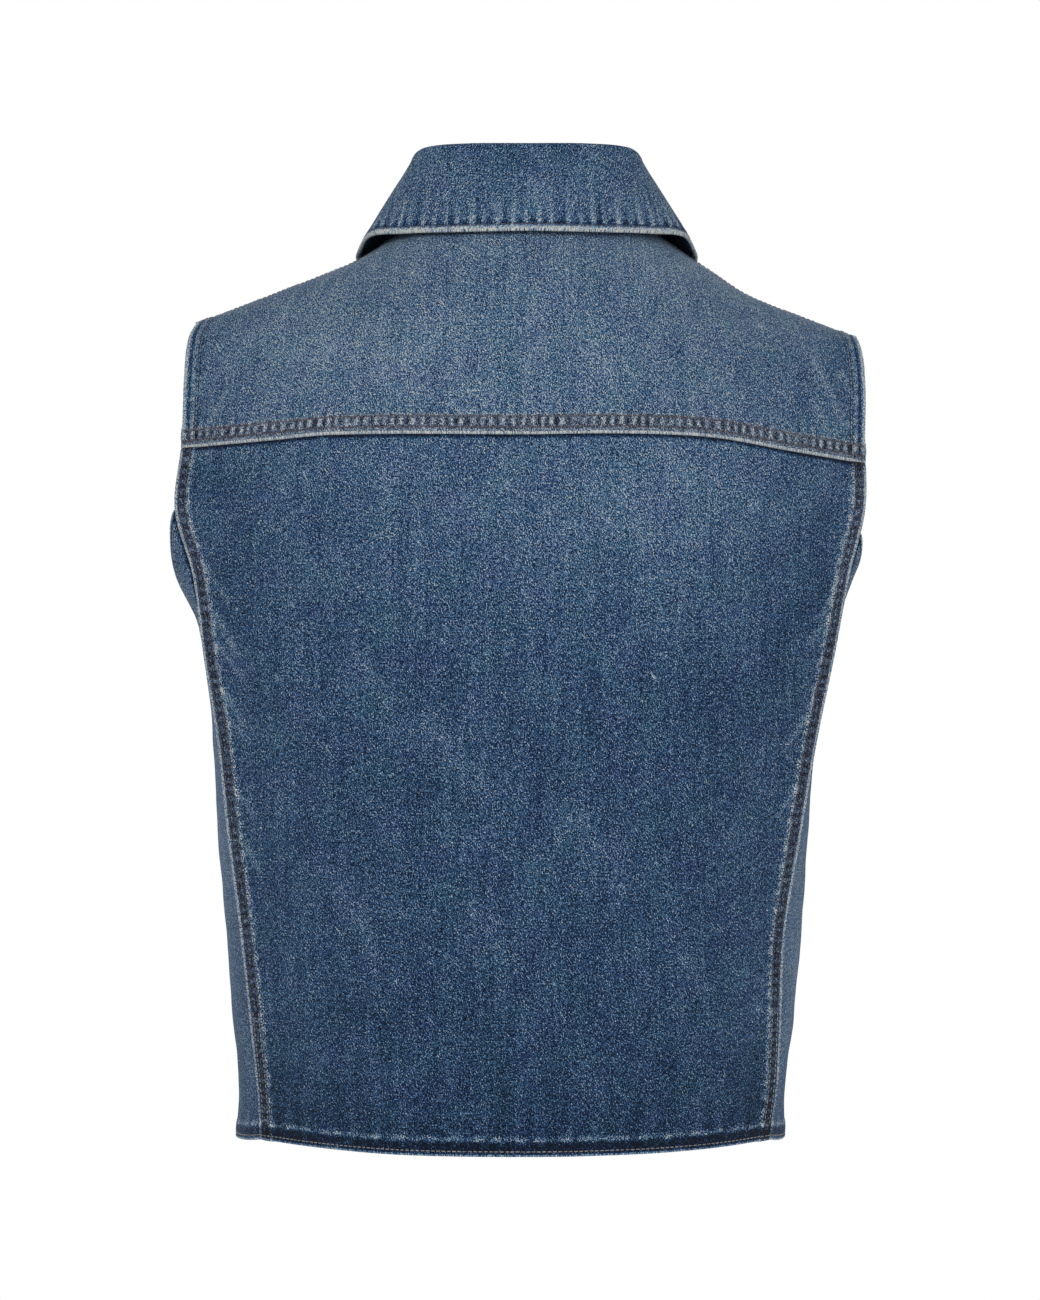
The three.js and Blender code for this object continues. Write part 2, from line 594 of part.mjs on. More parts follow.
// The collar's section at an angle round the neck: v runs up from the neck seam, over and down.
function collarPoint(angle, v) {
  const neck = neckPoint(angle / DEGREES);
  const fold = collarFold(angle);
  const alongFold = collarFold(angle + 1).sub(collarFold(angle - 1));
  const out = UP.clone().cross(alongFold).normalize();
  const centre = fold.clone().addScaledVector(UP, -COLLAR_ROLL);
  if (v < STAND_END) {
    const normal = bodyNormal(neck.x, neck.turn);
    const lift = COLLAR_SEAM_GAP + (COLLAR_CLOTH / 2) * Math.abs(out.dot(normal));
    const seam = body(neck.x, neck.turn).addScaledVector(normal, lift);
    const standTop = centre.clone().addScaledVector(out, -COLLAR_ROLL);
    const knee = standTop.clone().addScaledVector(UP, -0.4 * standTop.distanceTo(seam));
    return quadratic(seam, knee, standTop, v / STAND_END);
  }
  if (v < LEAF_START) {
    const turn = (Math.PI * (v - STAND_END)) / (LEAF_START - STAND_END);
    return centre
      .clone()
      .addScaledVector(out, -COLLAR_ROLL * Math.cos(turn))
      .addScaledVector(UP, COLLAR_ROLL * Math.sin(turn));
  }
  const leafTop = centre.clone().addScaledVector(out, COLLAR_ROLL);
  const at = (column) => collarColumn(angle, column);
  const edge = new THREE.Vector3(NECK_X + at("edgeX"), at("edgeY"), at("edgeZ"));
  const knee = leafTop.clone().lerp(edge, 0.3).addScaledVector(out, 2);
  const down = (v - LEAF_START) / (1 - LEAF_START);
  return settle(quadratic(leafTop, knee, edge, down), COLLAR_CLEARANCE);
}

function addCollar() {
  const endAngle = COLLAR[COLLAR.length - 1].angle;
  const grid = [];
  for (let i = 0; i <= COLLAR_COLUMNS; i++) {
    const angle = lerp(-endAngle, endAngle, i / COLLAR_COLUMNS);
    grid.push(COLLAR_PROFILE.map((v) => {
      const around = collarPoint(angle + 0.5, v).sub(collarPoint(angle - 0.5, v));
      const low = collarPoint(angle, Math.max(0, v - NUDGE));
      const down = collarPoint(angle, Math.min(1, v + NUDGE)).sub(low);
      const normal = around.cross(down).normalize();
      const point = collarPoint(angle, v).addScaledVector(normal, COLLAR_CLOTH / 2);
      return { point, normal, rise: 0 };
    }));
  }
  addPiece("collar", wallGeometry(grid, COLLAR_CLOTH), denim(COLLAR_DENIM));
}

// A metal button: a shallow dished cap with a rounded rim, lathed about its own axis.
function addButton(name, z) {
  const { radius, height } = BUTTON;
  const profile = [
    [0, 0],
    [radius * 0.8, 0],
    [radius * 0.97, height * 0.25],
    [radius, height * 0.55],
    [radius * 0.93, height * 0.9],
    [radius * 0.8, height],
    [radius * 0.62, height * 0.8],
    [0, height * 0.72],
  ].map(([r, h]) => new THREE.Vector2(r, h));
  const geometry = new THREE.LatheGeometry(profile, BUTTON.sides);
  const finish = { color: BUTTON_METAL, roughness: 0.4, metalness: 0.9 };
  const mesh = addPiece(name, geometry, new THREE.MeshStandardMaterial(finish));
  const x = sway(z);
  const seat = body(x, turnAt("front", x, z));
  const lower = body(x, turnAt("front", x, z - 1));
  const down = lower.sub(seat).normalize();
  const out = new THREE.Vector3(1, 0, 0).cross(down).normalize();
  if (out.y > 0) out.negate();
  mesh.quaternion.setFromUnitVectors(new THREE.Vector3(0, 1, 0), out);
  mesh.position.copy(seat).addScaledVector(out, PLACKET.rise + SEAM_GAP);
}

addYoke();
addBackPanel();
addSidePanel("side_panel_left", 1);
addSidePanel("side_panel_right", -1);
addFront("front_left", 1, -FRONT_OVERLAP);
addFront("front_right", -1, FRONT_OVERLAP);
addCollar();
for (let i = 0; i < BUTTON.count; i++) addButton(`button_${i + 1}`, BUTTON.top - i * BUTTON.pitch);

export default vest;
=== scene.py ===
"""A sleeveless denim vest in its worn shape with nobody in it, seen from behind.

Metres, +Z up. The fronts face -Y, the back faces +Y and +X is the wearer's left. Each piece of
cloth is a thin shell laid on the body that its tables describe, with the relief of its sewing.
"""

import math

import bpy
import numpy as np
from mathutils import Matrix, Vector


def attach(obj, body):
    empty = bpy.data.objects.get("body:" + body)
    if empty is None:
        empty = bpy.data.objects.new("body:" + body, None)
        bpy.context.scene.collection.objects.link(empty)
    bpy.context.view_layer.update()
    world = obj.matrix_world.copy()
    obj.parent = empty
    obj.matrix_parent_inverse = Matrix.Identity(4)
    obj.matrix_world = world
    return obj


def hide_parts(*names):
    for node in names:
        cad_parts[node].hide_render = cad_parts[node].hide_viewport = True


bl_info = {
    "name": "Denim Vest",
    "version": (1, 0, 0),
    "blender": (4, 5, 0),
    "location": "View3D > Sidebar > Denim Vest",
    "description": "Builds a sleeveless denim vest with its sewing, buttons and a plain stage",
    "category": "Add Mesh",
}

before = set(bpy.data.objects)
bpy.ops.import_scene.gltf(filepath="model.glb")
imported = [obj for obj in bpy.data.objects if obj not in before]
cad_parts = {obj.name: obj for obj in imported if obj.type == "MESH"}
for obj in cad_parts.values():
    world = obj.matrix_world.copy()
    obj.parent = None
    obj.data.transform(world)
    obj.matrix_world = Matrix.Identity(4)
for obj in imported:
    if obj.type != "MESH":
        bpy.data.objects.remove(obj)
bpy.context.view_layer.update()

# Cloth and its edges
CLOTH = 0.0016
COLLAR_CLOTH = 0.0022
HEM_Z = -0.560
HEM_LIFT_AT_SEAM = 0.003
FRONT_OVERLAP = 0.014
UNDERLAP = {"depth": 0.0031, "full": 0.022, "start": 0.046}
ARMHOLE_BOTTOM_Z = -0.266
SEAM_TOP = {"back_left": -0.170, "back_right": -0.184, "front": -0.206}
# Edges that go under a neighbour: how far they reach and sink, and the size and strength of the painted
# shadow on them
TUCK = {"reach": 0.0016, "dip": 0.0005, "width": 0.004, "shadow": 0.0030, "shade": 2.2}

# The shoulder line that the cloth hangs over, and the neck hole cut in it
NECK_X = -0.003
NECK = {"half_width": 0.076, "back_turn": 0.424, "front_turn": 1.1}
RIDGE = {"y": 0.002, "top": 0.0273, "fall": 0.3866, "round": 0.030, "neck_rise": 0.013, "spread": 0.090}
LOW_SHOULDER = {"drop": 0.0092, "start": 0.100, "full": 0.148}
SHOULDER_SEAM_TURN = 0.2
BACK_ARCH = {"middle": 0.165, "tip": 0.100, "power": 0.8}
FRONT_ARCH = {"middle": 0.200, "tip": 0.095, "power": 1.0}
SHOULDER_HALF = 0.210
SECTION_POWER = 2.4
YOKE_NECK_SHARE = 0.4773
FRONT_SHOULDER_SHARE = 0.53015
FRONT_SEAM_SHARE = 0.68
SHOULDER_SOFTNESS = 0.03
SHOULDER_WEAR = 0.8
CLEAR_OF_SEAM = (0.002, 0.006)
SEAM_END = {"below": 0.004, "above": 0.002}

# The body at each height, as half-widths and depths of the back and of the fronts
LEVEL_COLUMNS = ("z", "left", "right", "edge_y", "back_y", "front", "front_edge_y", "front_y")
LEVELS = (
    (-0.050, 0.2005, 0.1980, 0.040, 0.112, 0.200, 0.036, 0.092),
    (-0.063, 0.2060, 0.2080, 0.041, 0.112, 0.206, 0.036, 0.095),
    (-0.090, 0.2077, 0.2110, 0.042, 0.112, 0.205, 0.038, 0.101),
    (-0.130, 0.2085, 0.2100, 0.044, 0.113, 0.199, 0.041, 0.108),
    (-0.170, 0.2120, 0.2095, 0.047, 0.114, 0.194, 0.046, 0.114),
    (-0.210, 0.2008, 0.1998, 0.050, 0.113, 0.191, 0.051, 0.117),
    (-0.260, 0.1940, 0.1902, 0.051, 0.110, 0.188, 0.055, 0.118),
    (-0.310, 0.1860, 0.1800, 0.050, 0.106, 0.184, 0.057, 0.116),
    (-0.370, 0.1796, 0.1700, 0.047, 0.102, 0.179, 0.058, 0.112),
    (-0.430, 0.1721, 0.1606, 0.043, 0.099, 0.173, 0.058, 0.109),
    (-0.490, 0.1660, 0.1583, 0.038, 0.097, 0.167, 0.057, 0.107),
    (-0.525, 0.1625, 0.1566, 0.034, 0.096, 0.163, 0.056, 0.106),
    (-0.560, 0.1604, 0.1520, 0.030, 0.096, 0.161, 0.055, 0.106),
)

# Half-widths at the middle of the side panels
SIDE_COLUMNS = ("z", "left", "right", "power")
SIDES = (
    (-0.170, 0.2230, 0.2140, 0.60),
    (-0.188, 0.2220, 0.2135, 0.60),
    (-0.200, 0.2205, 0.2105, 0.60),
    (-0.212, 0.2155, 0.2030, 0.60),
    (-0.225, 0.2070, 0.1970, 0.63),
    (-0.237, 0.2000, 0.1930, 0.68),
    (-0.250, 0.1975, 0.1930, 0.76),
    (-0.266, 0.1955, 0.1910, 0.86),
    (-0.285, 0.1940, 0.1858, 0.95),
    (-0.310, 0.1930, 0.1820, 1.00),
    (-0.370, 0.1900, 0.1790, 1.00),
    (-0.430, 0.1855, 0.1750, 1.00),
    (-0.490, 0.1805, 0.1695, 1.00),
    (-0.525, 0.1775, 0.1650, 1.00),
    (-0.560, 0.1790, 0.1645, 1.00),
)

# Height of the seam between yoke and back panel
YOKE_SEAM_COLUMNS = ("x", "z")
YOKE_SEAM = (
    (-0.215, -0.1415),
    (-0.162, -0.1342),
    (-0.115, -0.1272),
    (-0.060, -0.1255),
    (0.000, -0.1262),
    (0.115, -0.1256),
    (0.150, -0.1280),
    (0.180, -0.1298),
    (0.215, -0.1318),
)

# The collar at angles round the neck: its folded top, and its free edge
COLLAR_COLUMNS = ("angle", "fold_x", "fold_y", "fold_z", "edge_x", "edge_y", "edge_z")
COLLAR = (
    (0, 0.0000, 0.0560, 0.0525, 0.0000, 0.078, -0.0015),
    (30, 0.0390, 0.0495, 0.0530, 0.0440, 0.069, -0.0015),
    (55, 0.0620, 0.0330, 0.0525, 0.0770, 0.050, -0.0005),
    (75, 0.0680, 0.0160, 0.0475, 0.0970, 0.030, -0.0005),
    (90, 0.0685, 0.0020, 0.0410, 0.1045, 0.009, -0.0090),
    (105, 0.0670, -0.0160, 0.0310, 0.1050, -0.012, -0.0150),
    (125, 0.0600, -0.0390, 0.0130, 0.1000, -0.050, -0.0380),
    (145, 0.0430, -0.0600, -0.0100, 0.0870, -0.082, -0.0720),
    (162, 0.0240, -0.0740, -0.0280, 0.0680, -0.100, -0.1000),
    (177, 0.0050, -0.0820, -0.0420, 0.0460, -0.112, -0.1220),
)
COLLAR_ROLL = 0.0036
COLLAR_SEAT = -0.0004
COLLAR_CLEARANCE = 0.0029
COLLAR_SOFTNESS = 0.0008
STAND_END = 0.34
LEAF_START = 0.46

# Soft folds of each face, as x and z of both ends, half width and depth. A negative depth sinks.
FOLDS = {
    "back": (
        (0.190, -0.175, 0.120, -0.250, 0.022, -0.0020),
        (0.178, -0.215, 0.105, -0.330, 0.024, 0.0018),
        (-0.186, -0.185, -0.120, -0.255, 0.022, -0.0022),
        (-0.172, -0.230, -0.110, -0.345, 0.026, 0.0018),
        (0.060, -0.420, 0.078, -0.560, 0.026, 0.0016),
        (-0.040, -0.440, -0.052, -0.560, 0.024, -0.0018),
        (-0.118, -0.430, -0.124, -0.560, 0.022, 0.0018),
        (0.000, -0.150, -0.014, -0.250, 0.030, -0.0012),
    ),
    "front": (
        (0.176, -0.180, 0.100, -0.270, 0.024, -0.0022),
        (0.160, -0.250, 0.084, -0.370, 0.028, 0.0020),
        (-0.178, -0.186, -0.104, -0.278, 0.024, -0.0020),
        (-0.158, -0.262, -0.090, -0.360, 0.026, 0.0022),
        (0.104, -0.430, 0.112, -0.560, 0.026, 0.0018),
        (-0.098, -0.440, -0.104, -0.560, 0.024, 0.0018),
    ),
}

# Small creases in the same form, pressed in on top of the soft folds. Their crests are painted paler,
# as wear and as painted highlight.
CREASES = {
    "back": (
        (0.188, -0.232, 0.173, -0.258, 0.0020, 0.00060),
        (0.186, -0.252, 0.170, -0.272, 0.0022, 0.00050),
        (0.182, -0.280, 0.170, -0.300, 0.0019, 0.00060),
        (0.178, -0.300, 0.166, -0.312, 0.0020, 0.00045),
        (0.193, -0.206, 0.178, -0.226, 0.0022, 0.00050),
        (0.176, -0.338, 0.164, -0.356, 0.0020, 0.00050),
        (0.170, -0.372, 0.160, -0.392, 0.0019, 0.00045),
        (-0.194, -0.212, -0.182, -0.236, 0.0022, 0.00055),
        (-0.188, -0.236, -0.174, -0.252, 0.0020, 0.00045),
        (-0.174, -0.296, -0.160, -0.316, 0.0020, 0.00055),
        (-0.168, -0.340, -0.156, -0.356, 0.0019, 0.00050),
        (0.056, -0.300, 0.020, -0.340, 0.0055, 0.00026),
        (-0.028, -0.350, -0.056, -0.386, 0.0055, 0.00026),
        (0.030, -0.410, 0.004, -0.446, 0.0060, 0.00022),
        (-0.090, -0.430, -0.112, -0.462, 0.0055, 0.00022),
        (0.110, -0.400, 0.090, -0.440, 0.0055, 0.00022),
        (0.098, -0.262, 0.078, -0.296, 0.0055, 0.00022),
    ),
    "yoke": (
        (-0.186, -0.120, -0.172, -0.094, 0.0018, 0.00030),
        (-0.199, -0.120, -0.178, -0.077, 0.0016, 0.00042),
        (-0.170, -0.113, -0.164, -0.103, 0.0020, 0.00020),
        (-0.204, -0.102, -0.197, -0.086, 0.0016, 0.00034),
        (0.192, -0.118, 0.180, -0.098, 0.0018, 0.00034),
        (0.201, -0.102, 0.192, -0.082, 0.0016, 0.00026),
    ),
    "front": (
        (0.174, -0.232, 0.158, -0.254, 0.0021, 0.00060),
        (0.172, -0.258, 0.158, -0.276, 0.0022, 0.00050),
        (0.170, -0.292, 0.156, -0.312, 0.0020, 0.00055),
        (0.162, -0.350, 0.150, -0.368, 0.0020, 0.00045),
        (-0.176, -0.236, -0.160, -0.258, 0.0021, 0.00060),
        (-0.172, -0.264, -0.158, -0.284, 0.0022, 0.00050),
        (-0.168, -0.300, -0.156, -0.320, 0.0020, 0.00055),
        (-0.056, -0.396, -0.088, -0.430, 0.0055, 0.00026),
        (0.066, -0.376, 0.098, -0.414, 0.0055, 0.00026),
        (0.048, -0.470, 0.076, -0.504, 0.0055, 0.00024),
        (-0.060, -0.220, -0.036, -0.254, 0.0055, 0.00024),
        (0.094, -0.150, 0.068, -0.190, 0.0055, 0.00026),
    ),
}

# How pale the cloth is on the right side: its level on a grey scale for each piece and height
TONE_COLUMNS = ("z", "back", "yoke", "front", "side")
TONES = (
    (-0.560, 0.070, 0.300, 0.110, 0.210),
    (-0.550, 0.096, 0.300, 0.130, 0.225),
    (-0.530, 0.145, 0.310, 0.168, 0.255),
    (-0.480, 0.186, 0.320, 0.204, 0.285),
    (-0.400, 0.202, 0.330, 0.222, 0.310),
    (-0.300, 0.218, 0.340, 0.240, 0.310),
    (-0.220, 0.258, 0.350, 0.278, 0.295),
    (-0.160, 0.294, 0.342, 0.304, 0.285),
    (-0.130, 0.305, 0.356, 0.326, 0.280),
    (-0.080, 0.335, 0.382, 0.354, 0.280),
    (0.000, 0.355, 0.388, 0.367, 0.280),
)

# Soft patches on each face, of fading and of painted light and shade: x and z of the middle, both
# half sizes, change of tone
PATCHES = {
    "yoke": (
        (0.182, -0.100, 0.030, 0.034, -0.030),
        (-0.182, -0.098, 0.032, 0.036, -0.052),
        # Painted light where the yoke is brightest
        (0.122, -0.075, 0.060, 0.036, 0.026),
        (-0.150, -0.090, 0.050, 0.036, -0.016),
        (0.198, -0.090, 0.014, 0.060, -0.040),
        (-0.200, -0.090, 0.012, 0.060, -0.040),
        (0.000, -0.030, 0.110, 0.014, -0.010),
        # Painted highlights along the tops of both shoulders
        (0.120, -0.016, 0.060, 0.014, 0.030),
        (-0.120, -0.020, 0.060, 0.014, 0.035),
    ),
    "back": (
        # The next five are painted light and shade: paler over the shoulder blade and the middle, darker
        # down both armhole sides
        (-0.085, -0.165, 0.085, 0.045, 0.050),
        (-0.030, -0.200, 0.070, 0.050, 0.020),
        (0.176, -0.200, 0.026, 0.080, -0.060),
        (0.150, -0.150, 0.050, 0.025, -0.018),
        (-0.176, -0.210, 0.028, 0.075, -0.075),
        (-0.120, -0.298, 0.032, 0.030, -0.030),
        (-0.138, -0.450, 0.012, 0.065, 0.026),
        (0.140, -0.420, 0.012, 0.080, 0.020),
        (0.020, -0.380, 0.060, 0.050, 0.014),
        (0.080, -0.470, 0.040, 0.040, -0.014),
        # Painted shadows under both ends of the yoke
        (-0.204, -0.144, 0.011, 0.013, -0.120),
        (0.204, -0.152, 0.010, 0.010, -0.090),
        (0.152, -0.545, 0.011, 0.040, -0.070),
        (-0.146, -0.545, 0.011, 0.040, -0.070),
    ),
    "collar": (
        (0.000, 0.046, 0.055, 0.014, -0.045),
        (0.078, 0.010, 0.020, 0.030, 0.030),
        (-0.080, 0.010, 0.020, 0.030, 0.030),
        (-0.025, 0.022, 0.030, 0.010, 0.022),
    ),
    "side": (
        (-0.168, -0.460, 0.012, 0.090, 0.085),
        (0.172, -0.470, 0.012, 0.100, -0.040),
    ),
    "front": (
        (0.100, -0.170, 0.070, 0.050, 0.030),
        (-0.100, -0.175, 0.070, 0.050, 0.034),
        (0.120, -0.320, 0.040, 0.050, -0.020),
        (-0.110, -0.360, 0.040, 0.050, -0.020),
        (0.090, -0.460, 0.030, 0.050, 0.014),
    ),
}
COLLAR_TONE = 0.318
COLLAR_FADE = {"start": 0.70, "lighter": 0.03, "stand_darker": 0.02}

# Sewn edges, one column for each, in the order of the names below. rows are the distances of the
# stitch rows from the edge, and grooves are other sunk lines. rim pales the edge over the width
# worn, and ridge pales the crest beside the band. window is the strip that puckers, as its middle
# and half width, and contrast its light and shade. shade changes the strip's paleness, and row_shade
# is the painted shade in its sunk rows and grooves. grey is the share of its blue that it loses.
# reach, outer_pitch and outer belong to the puckers that run on past the last row.
BANDS = {
    "width": (0.0098, 0.0106, 0.0098, 0.0095, 0.0300, 0.0026),
    "rise": (0.0009, 0.0009, 0.0005, 0.0005, 0.0005, 0.0000),
    "slope": (0.0012, 0.0012, 0.0012, 0.0012, 0.0014, 0.0010),
    "rows": ((0.0030, 0.0076), (0.0034, 0.0098), (0.0103,), (0.0024,), (0.0030, 0.0300), (0.0032,)),
    "grooves": ((), (), (0.0044,), (), (), ()),
    "worn": (0.0020, 0.0008, 0.0024, 0.0006, 0.0016, 0.0032),
    "rim": (0.12, 0.05, 0.06, 0.12, 0.03, 0.11),
    "ridge": (2.20, 0.70, 0.00, 2.60, 0.10, 0.00),
    "pitch": (0.0062, 0.0060, 0.0074, 0.0085, 0.0080, 0.0084),
    "pucker": (0.00022, 0.00036, 0.00022, 0.00024, 0.00018, 0.00042),
    "window": (
        (0.0053, 0.0030), (0.0067, 0.0024), (0.0072, 0.0019),
        (0.0056, 0.0032), (0.0065, 0.0030), (0.0056, 0.0016),
    ),
    "shade": (-0.24, -0.16, 0.55, -0.85, 0.05, -0.20),
    "row_shade": (-1.10, -1.00, -1.50, -0.50, -0.90, -1.90),
    "grey": (0.20, 0.36, 0, 0, 0, 0),
    "contrast": (1.40, 3.2, 0.80, 0.60, 0.60, 1.00),
    "reach": (0.004, 0.006, 0.006, 0.018, 0.006, 0.019),
    "outer_pitch": (0.009, 0.0075, 0.010, 0.0165, 0.010, 0.0084),
    "outer": (0.30, 0.75, 0.40, 0.50, 0.35, 1.15),
}
FELL, YOKE_FELL, ARMHOLE, HEM, PLACKET, COLLAR_EDGE = (
    {key: values[column] for key, values in BANDS.items()} for column in range(6)
)
SUNK_ROW = {"half_width": 0.0008, "depth": 0.00022}
# Sizes along an edge of what varies there, and how much of its pitch and its border drifts
UNEVEN = {
    "pitch": 0.031, "strength": 0.047, "border": 0.011, "crest": 0.009, "reach": 0.023, "fringe": 0.013,
}
PITCH_DRIFT = 0.35
BORDER_DRIFT = 0.0012
CREST_HALF_WIDTH = 0.0016
FAR_FROM_EDGE = 8.0
CREASE_WEAR_AND_LIGHT = {"full_depth": 0.0005, "amount": 0.75}
RIPPLE = {"height": 0.00045, "small_height": 0.00008, "wear_and_shading": 0.05, "margin": 0.03}
COLLAR_RIPPLE = 0.0002
PALE_THREAD_BELOW = -0.475
COLLAR_HIDES_ABOVE = -0.070

# Grid lines across and up each piece: length, spacing, the fine stretches at start and end, and
# the spacing there
GRIDS = {
    "back_across": (0.44, 0.0056, 0.030, 0.030, 0.0011),
    "back_up": (0.435, 0.0015, 0.012, 0.008, 0.0008),
    "yoke_across": (0.44, 0.00105, 0.013, 0.013, 0.0008),
    "yoke_up": (0.140, 0.0026, 0.018, 0.004, 0.0008),
    "side_up": (0.300, 0.0016, 0.012, 0.012, 0.0008),
    "front_across": (0.205, 0.0046, 0.014, 0.005, 0.0009),
    "front_seam_up": (0.352, 0.0015, 0.012, 0.002, 0.0008),
    "front_armhole_up": (0.170, 0.0018, 0.002, 0.006, 0.0010),
}
PLACKET_LINES = (0.0288, 0.030, 0.0312)
SIDE_LINES_ACROSS = 49
COLLAR_LINES_ACROSS = 481
COLLAR_LINES_UP = ((0, STAND_END, 12), (STAND_END, LEAF_START, 9), (LEAF_START, 0.80, 17), (0.80, 1, 22))

TWILL_PITCH = 0.00095
WEFT_PITCH = 0.00062
STITCH = {"length": 0.0026, "pitch": 0.0032, "radius": 0.00030}

BUTTON = {"radius": 0.0085, "height": 0.0034, "count": 6, "top": -0.092, "pitch": 0.0896}
BUTTON_SEAT = 0.0009
# Shares of the button's height, and of its radius for the shank's inset
CAP = {"depth": 0.55, "middle": 0.725, "shank": 0.45, "shank_inset": 0.60, "bevel": 0.14}
# Steps of the cap inward from its rim, as shares of its radius and rises as shares of its height
CAP_STEPS = ((0.17, 0), (0.10, -0.20), (0.34, 0.05), (0.06, 0.06), (0.06, -0.06))
BUTTONHOLE = {"near": 0.003, "far": -0.019, "radius": 0.00075, "half_height": 0.0016, "flatness": 0.6}

# The photograph's view: a long lens straight behind the vest
CAMERA = {"x": 0.00125, "distance": 2.600, "z": -0.256, "frame_height": 0.8112, "sensor": 36.0}
STAGE = {"floor_z": -1.32, "floor_radius": 4.0, "target_z": -0.25}
FRONT_LIGHT_SHARE = 0.8


def srgb(red, green, blue):
    """A colour given in 0 to 255 display values, as the linear colour that shaders use."""
    shares = [value / 255 for value in (red, green, blue)]
    return tuple(s / 12.92 if s <= 0.04045 else ((s + 0.055) / 1.055) ** 2.4 for s in shares)


# Denim colours from the bare dye to bare cotton, each at its level on a grey scale
DENIM_RAMP = (
    (0.02, srgb(8, 13, 24)),
    (0.10, srgb(13, 26, 46)),
    (0.18, srgb(16, 40, 71)),
    (0.30, srgb(31, 67, 107)),
    (0.40, srgb(54, 93, 132)),
    (0.50, srgb(80, 118, 153)),
    (0.62, srgb(119, 149, 175)),
    (0.72, srgb(168, 178, 182)),
    (0.84, srgb(208, 205, 190)),
)


def smooth_table(rows, columns):
    """A smooth curve through the rows of a table, read at a value of its first column."""
    data = np.array(sorted(rows), float)
    keys = data[:, 0]
    last = len(keys) - 1
    before = np.maximum(np.arange(last + 1) - 1, 0)
    after = np.minimum(np.arange(last + 1) + 1, last)
    slopes = (data[after] - data[before]) / (keys[after] - keys[before])[:, None]

    def read(value, column):
        c = columns.index(column)
        at = np.clip(value, keys[0], keys[-1])
        i = np.clip(np.searchsorted(keys, at, side="left") - 1, 0, last - 1)
        step = keys[i + 1] - keys[i]
        u = (at - keys[i]) / step
        h = u * u * (3 - 2 * u)
        bend = u * (1 - u) * ((1 - u) * slopes[i, c] - u * slopes[i + 1, c])
        return data[i, c] * (1 - h) + data[i + 1, c] * h + step * bend

    return read


def mirrored_collar():
    """The collar's rows on both sides of the centre back."""
    other = [(-a, -fx, fy, fz, -ex, ey, ez) for a, fx, fy, fz, ex, ey, ez in COLLAR[1:]]
    return [*other, *COLLAR]


level = smooth_table(LEVELS, LEVEL_COLUMNS)
side_level = smooth_table(SIDES, SIDE_COLUMNS)
yoke_seam = smooth_table(YOKE_SEAM, YOKE_SEAM_COLUMNS)
collar_column = smooth_table(mirrored_collar(), COLLAR_COLUMNS)
tone_level = smooth_table(TONES, TONE_COLUMNS)


def lerp(a, b, share):
    return a + (b - a) * share


def smoothstep(value, start, end):
    u = np.clip((value - start) / (end - start), 0, 1)
    return u * u * (3 - 2 * u)


def unit(vectors):
    return vectors / np.maximum(np.linalg.norm(vectors, axis=-1, keepdims=True), 1e-12)


def ridge_z(x):
    """Height of the shoulder line at x."""
    out = x - NECK_X
    slope = RIDGE["top"] - RIDGE["fall"] * np.hypot(out, RIDGE["round"])
    neck = RIDGE["neck_rise"] * np.exp(-((out / RIDGE["spread"]) ** 6))
    low = smoothstep(-x, LOW_SHOULDER["start"], LOW_SHOULDER["full"])
    return slope + neck - LOW_SHOULDER["drop"] * low


def back_edge(side, z):
    return side * np.where(np.asarray(side) > 0, level(z, "left"), level(z, "right"))


def sway(z):
    return (level(z, "left") - level(z, "right")) / 2


def front_edge(side, z):
    return side * level(z, "front") + sway(z)


def hem_height(share):
    """Height of the hem at a share of the way from a piece's middle to its seams."""
    return HEM_Z + HEM_LIFT_AT_SEAM * np.abs(share) ** 3


def fold_at(face, x, z, folds):
    """How far folds move the cloth out at points of a face."""
    out = np.zeros(np.broadcast(x, z).shape)
    for x1, z1, x2, z2, half_width, depth in folds.get(face, ()):
        length = math.hypot(x2 - x1, z2 - z1)
        along = ((x - x1) * (x2 - x1) + (z - z1) * (z2 - z1)) / length
        across = ((x - x1) * (z2 - z1) - (z - z1) * (x2 - x1)) / length
        beyond = np.maximum(0, np.maximum(-along, along - length))
        out += depth * np.exp(-((np.hypot(across, beyond) / half_width) ** 2))
    return out


def full_depth(face, x, z):
    """Depth of the back or the fronts where the cloth hangs clear of the shoulders."""
    is_back = face == "back"
    side = np.where(x >= 0, 1, -1)
    edge = back_edge(side, z) if is_back else front_edge(side, z)
    edge_y = level(z, "edge_y" if is_back else "front_edge_y")
    centre_y = level(z, "back_y" if is_back else "front_y")
    crown = 1 - np.abs(x / edge) ** SECTION_POWER
    depth = edge_y + (centre_y - edge_y) * crown + fold_at(face, x, z, FOLDS)
    return depth if is_back else -depth


def arch_span(face, x):
    arch = BACK_ARCH if face == "back" else FRONT_ARCH
    return lerp(arch["middle"], arch["tip"], (x / SHOULDER_HALF) ** 2)


def body(x, turn):
    """Points of the body: 0 turn is the shoulder line, and turns are positive down the back."""
    x, turn = np.broadcast_arrays(np.asarray(x, float), np.asarray(turn, float))
    is_back = turn >= 0
    curved = np.minimum(np.abs(turn), math.pi / 2)
    hanging = np.abs(turn) - curved
    span = np.where(is_back, arch_span("back", x), arch_span("front", x))
    z = ridge_z(x) - span * (1 - np.cos(curved) + hanging)
    share = np.sin(curved) ** np.where(is_back, BACK_ARCH["power"], FRONT_ARCH["power"])
    depth = np.where(is_back, full_depth("back", x, z), full_depth("front", x, z))
    return np.stack([x, lerp(RIDGE["y"], depth, share), z], axis=-1)


def turn_at(face, x, z):
    """The turn at which the body reaches a height."""
    share = (ridge_z(x) - z) / arch_span(face, x)
    curved = np.arccos(np.clip(1 - share, -1, 1))
    turn = np.where(share < 1, curved, math.pi / 2 + share - 1)
    return turn if face == "back" else -turn


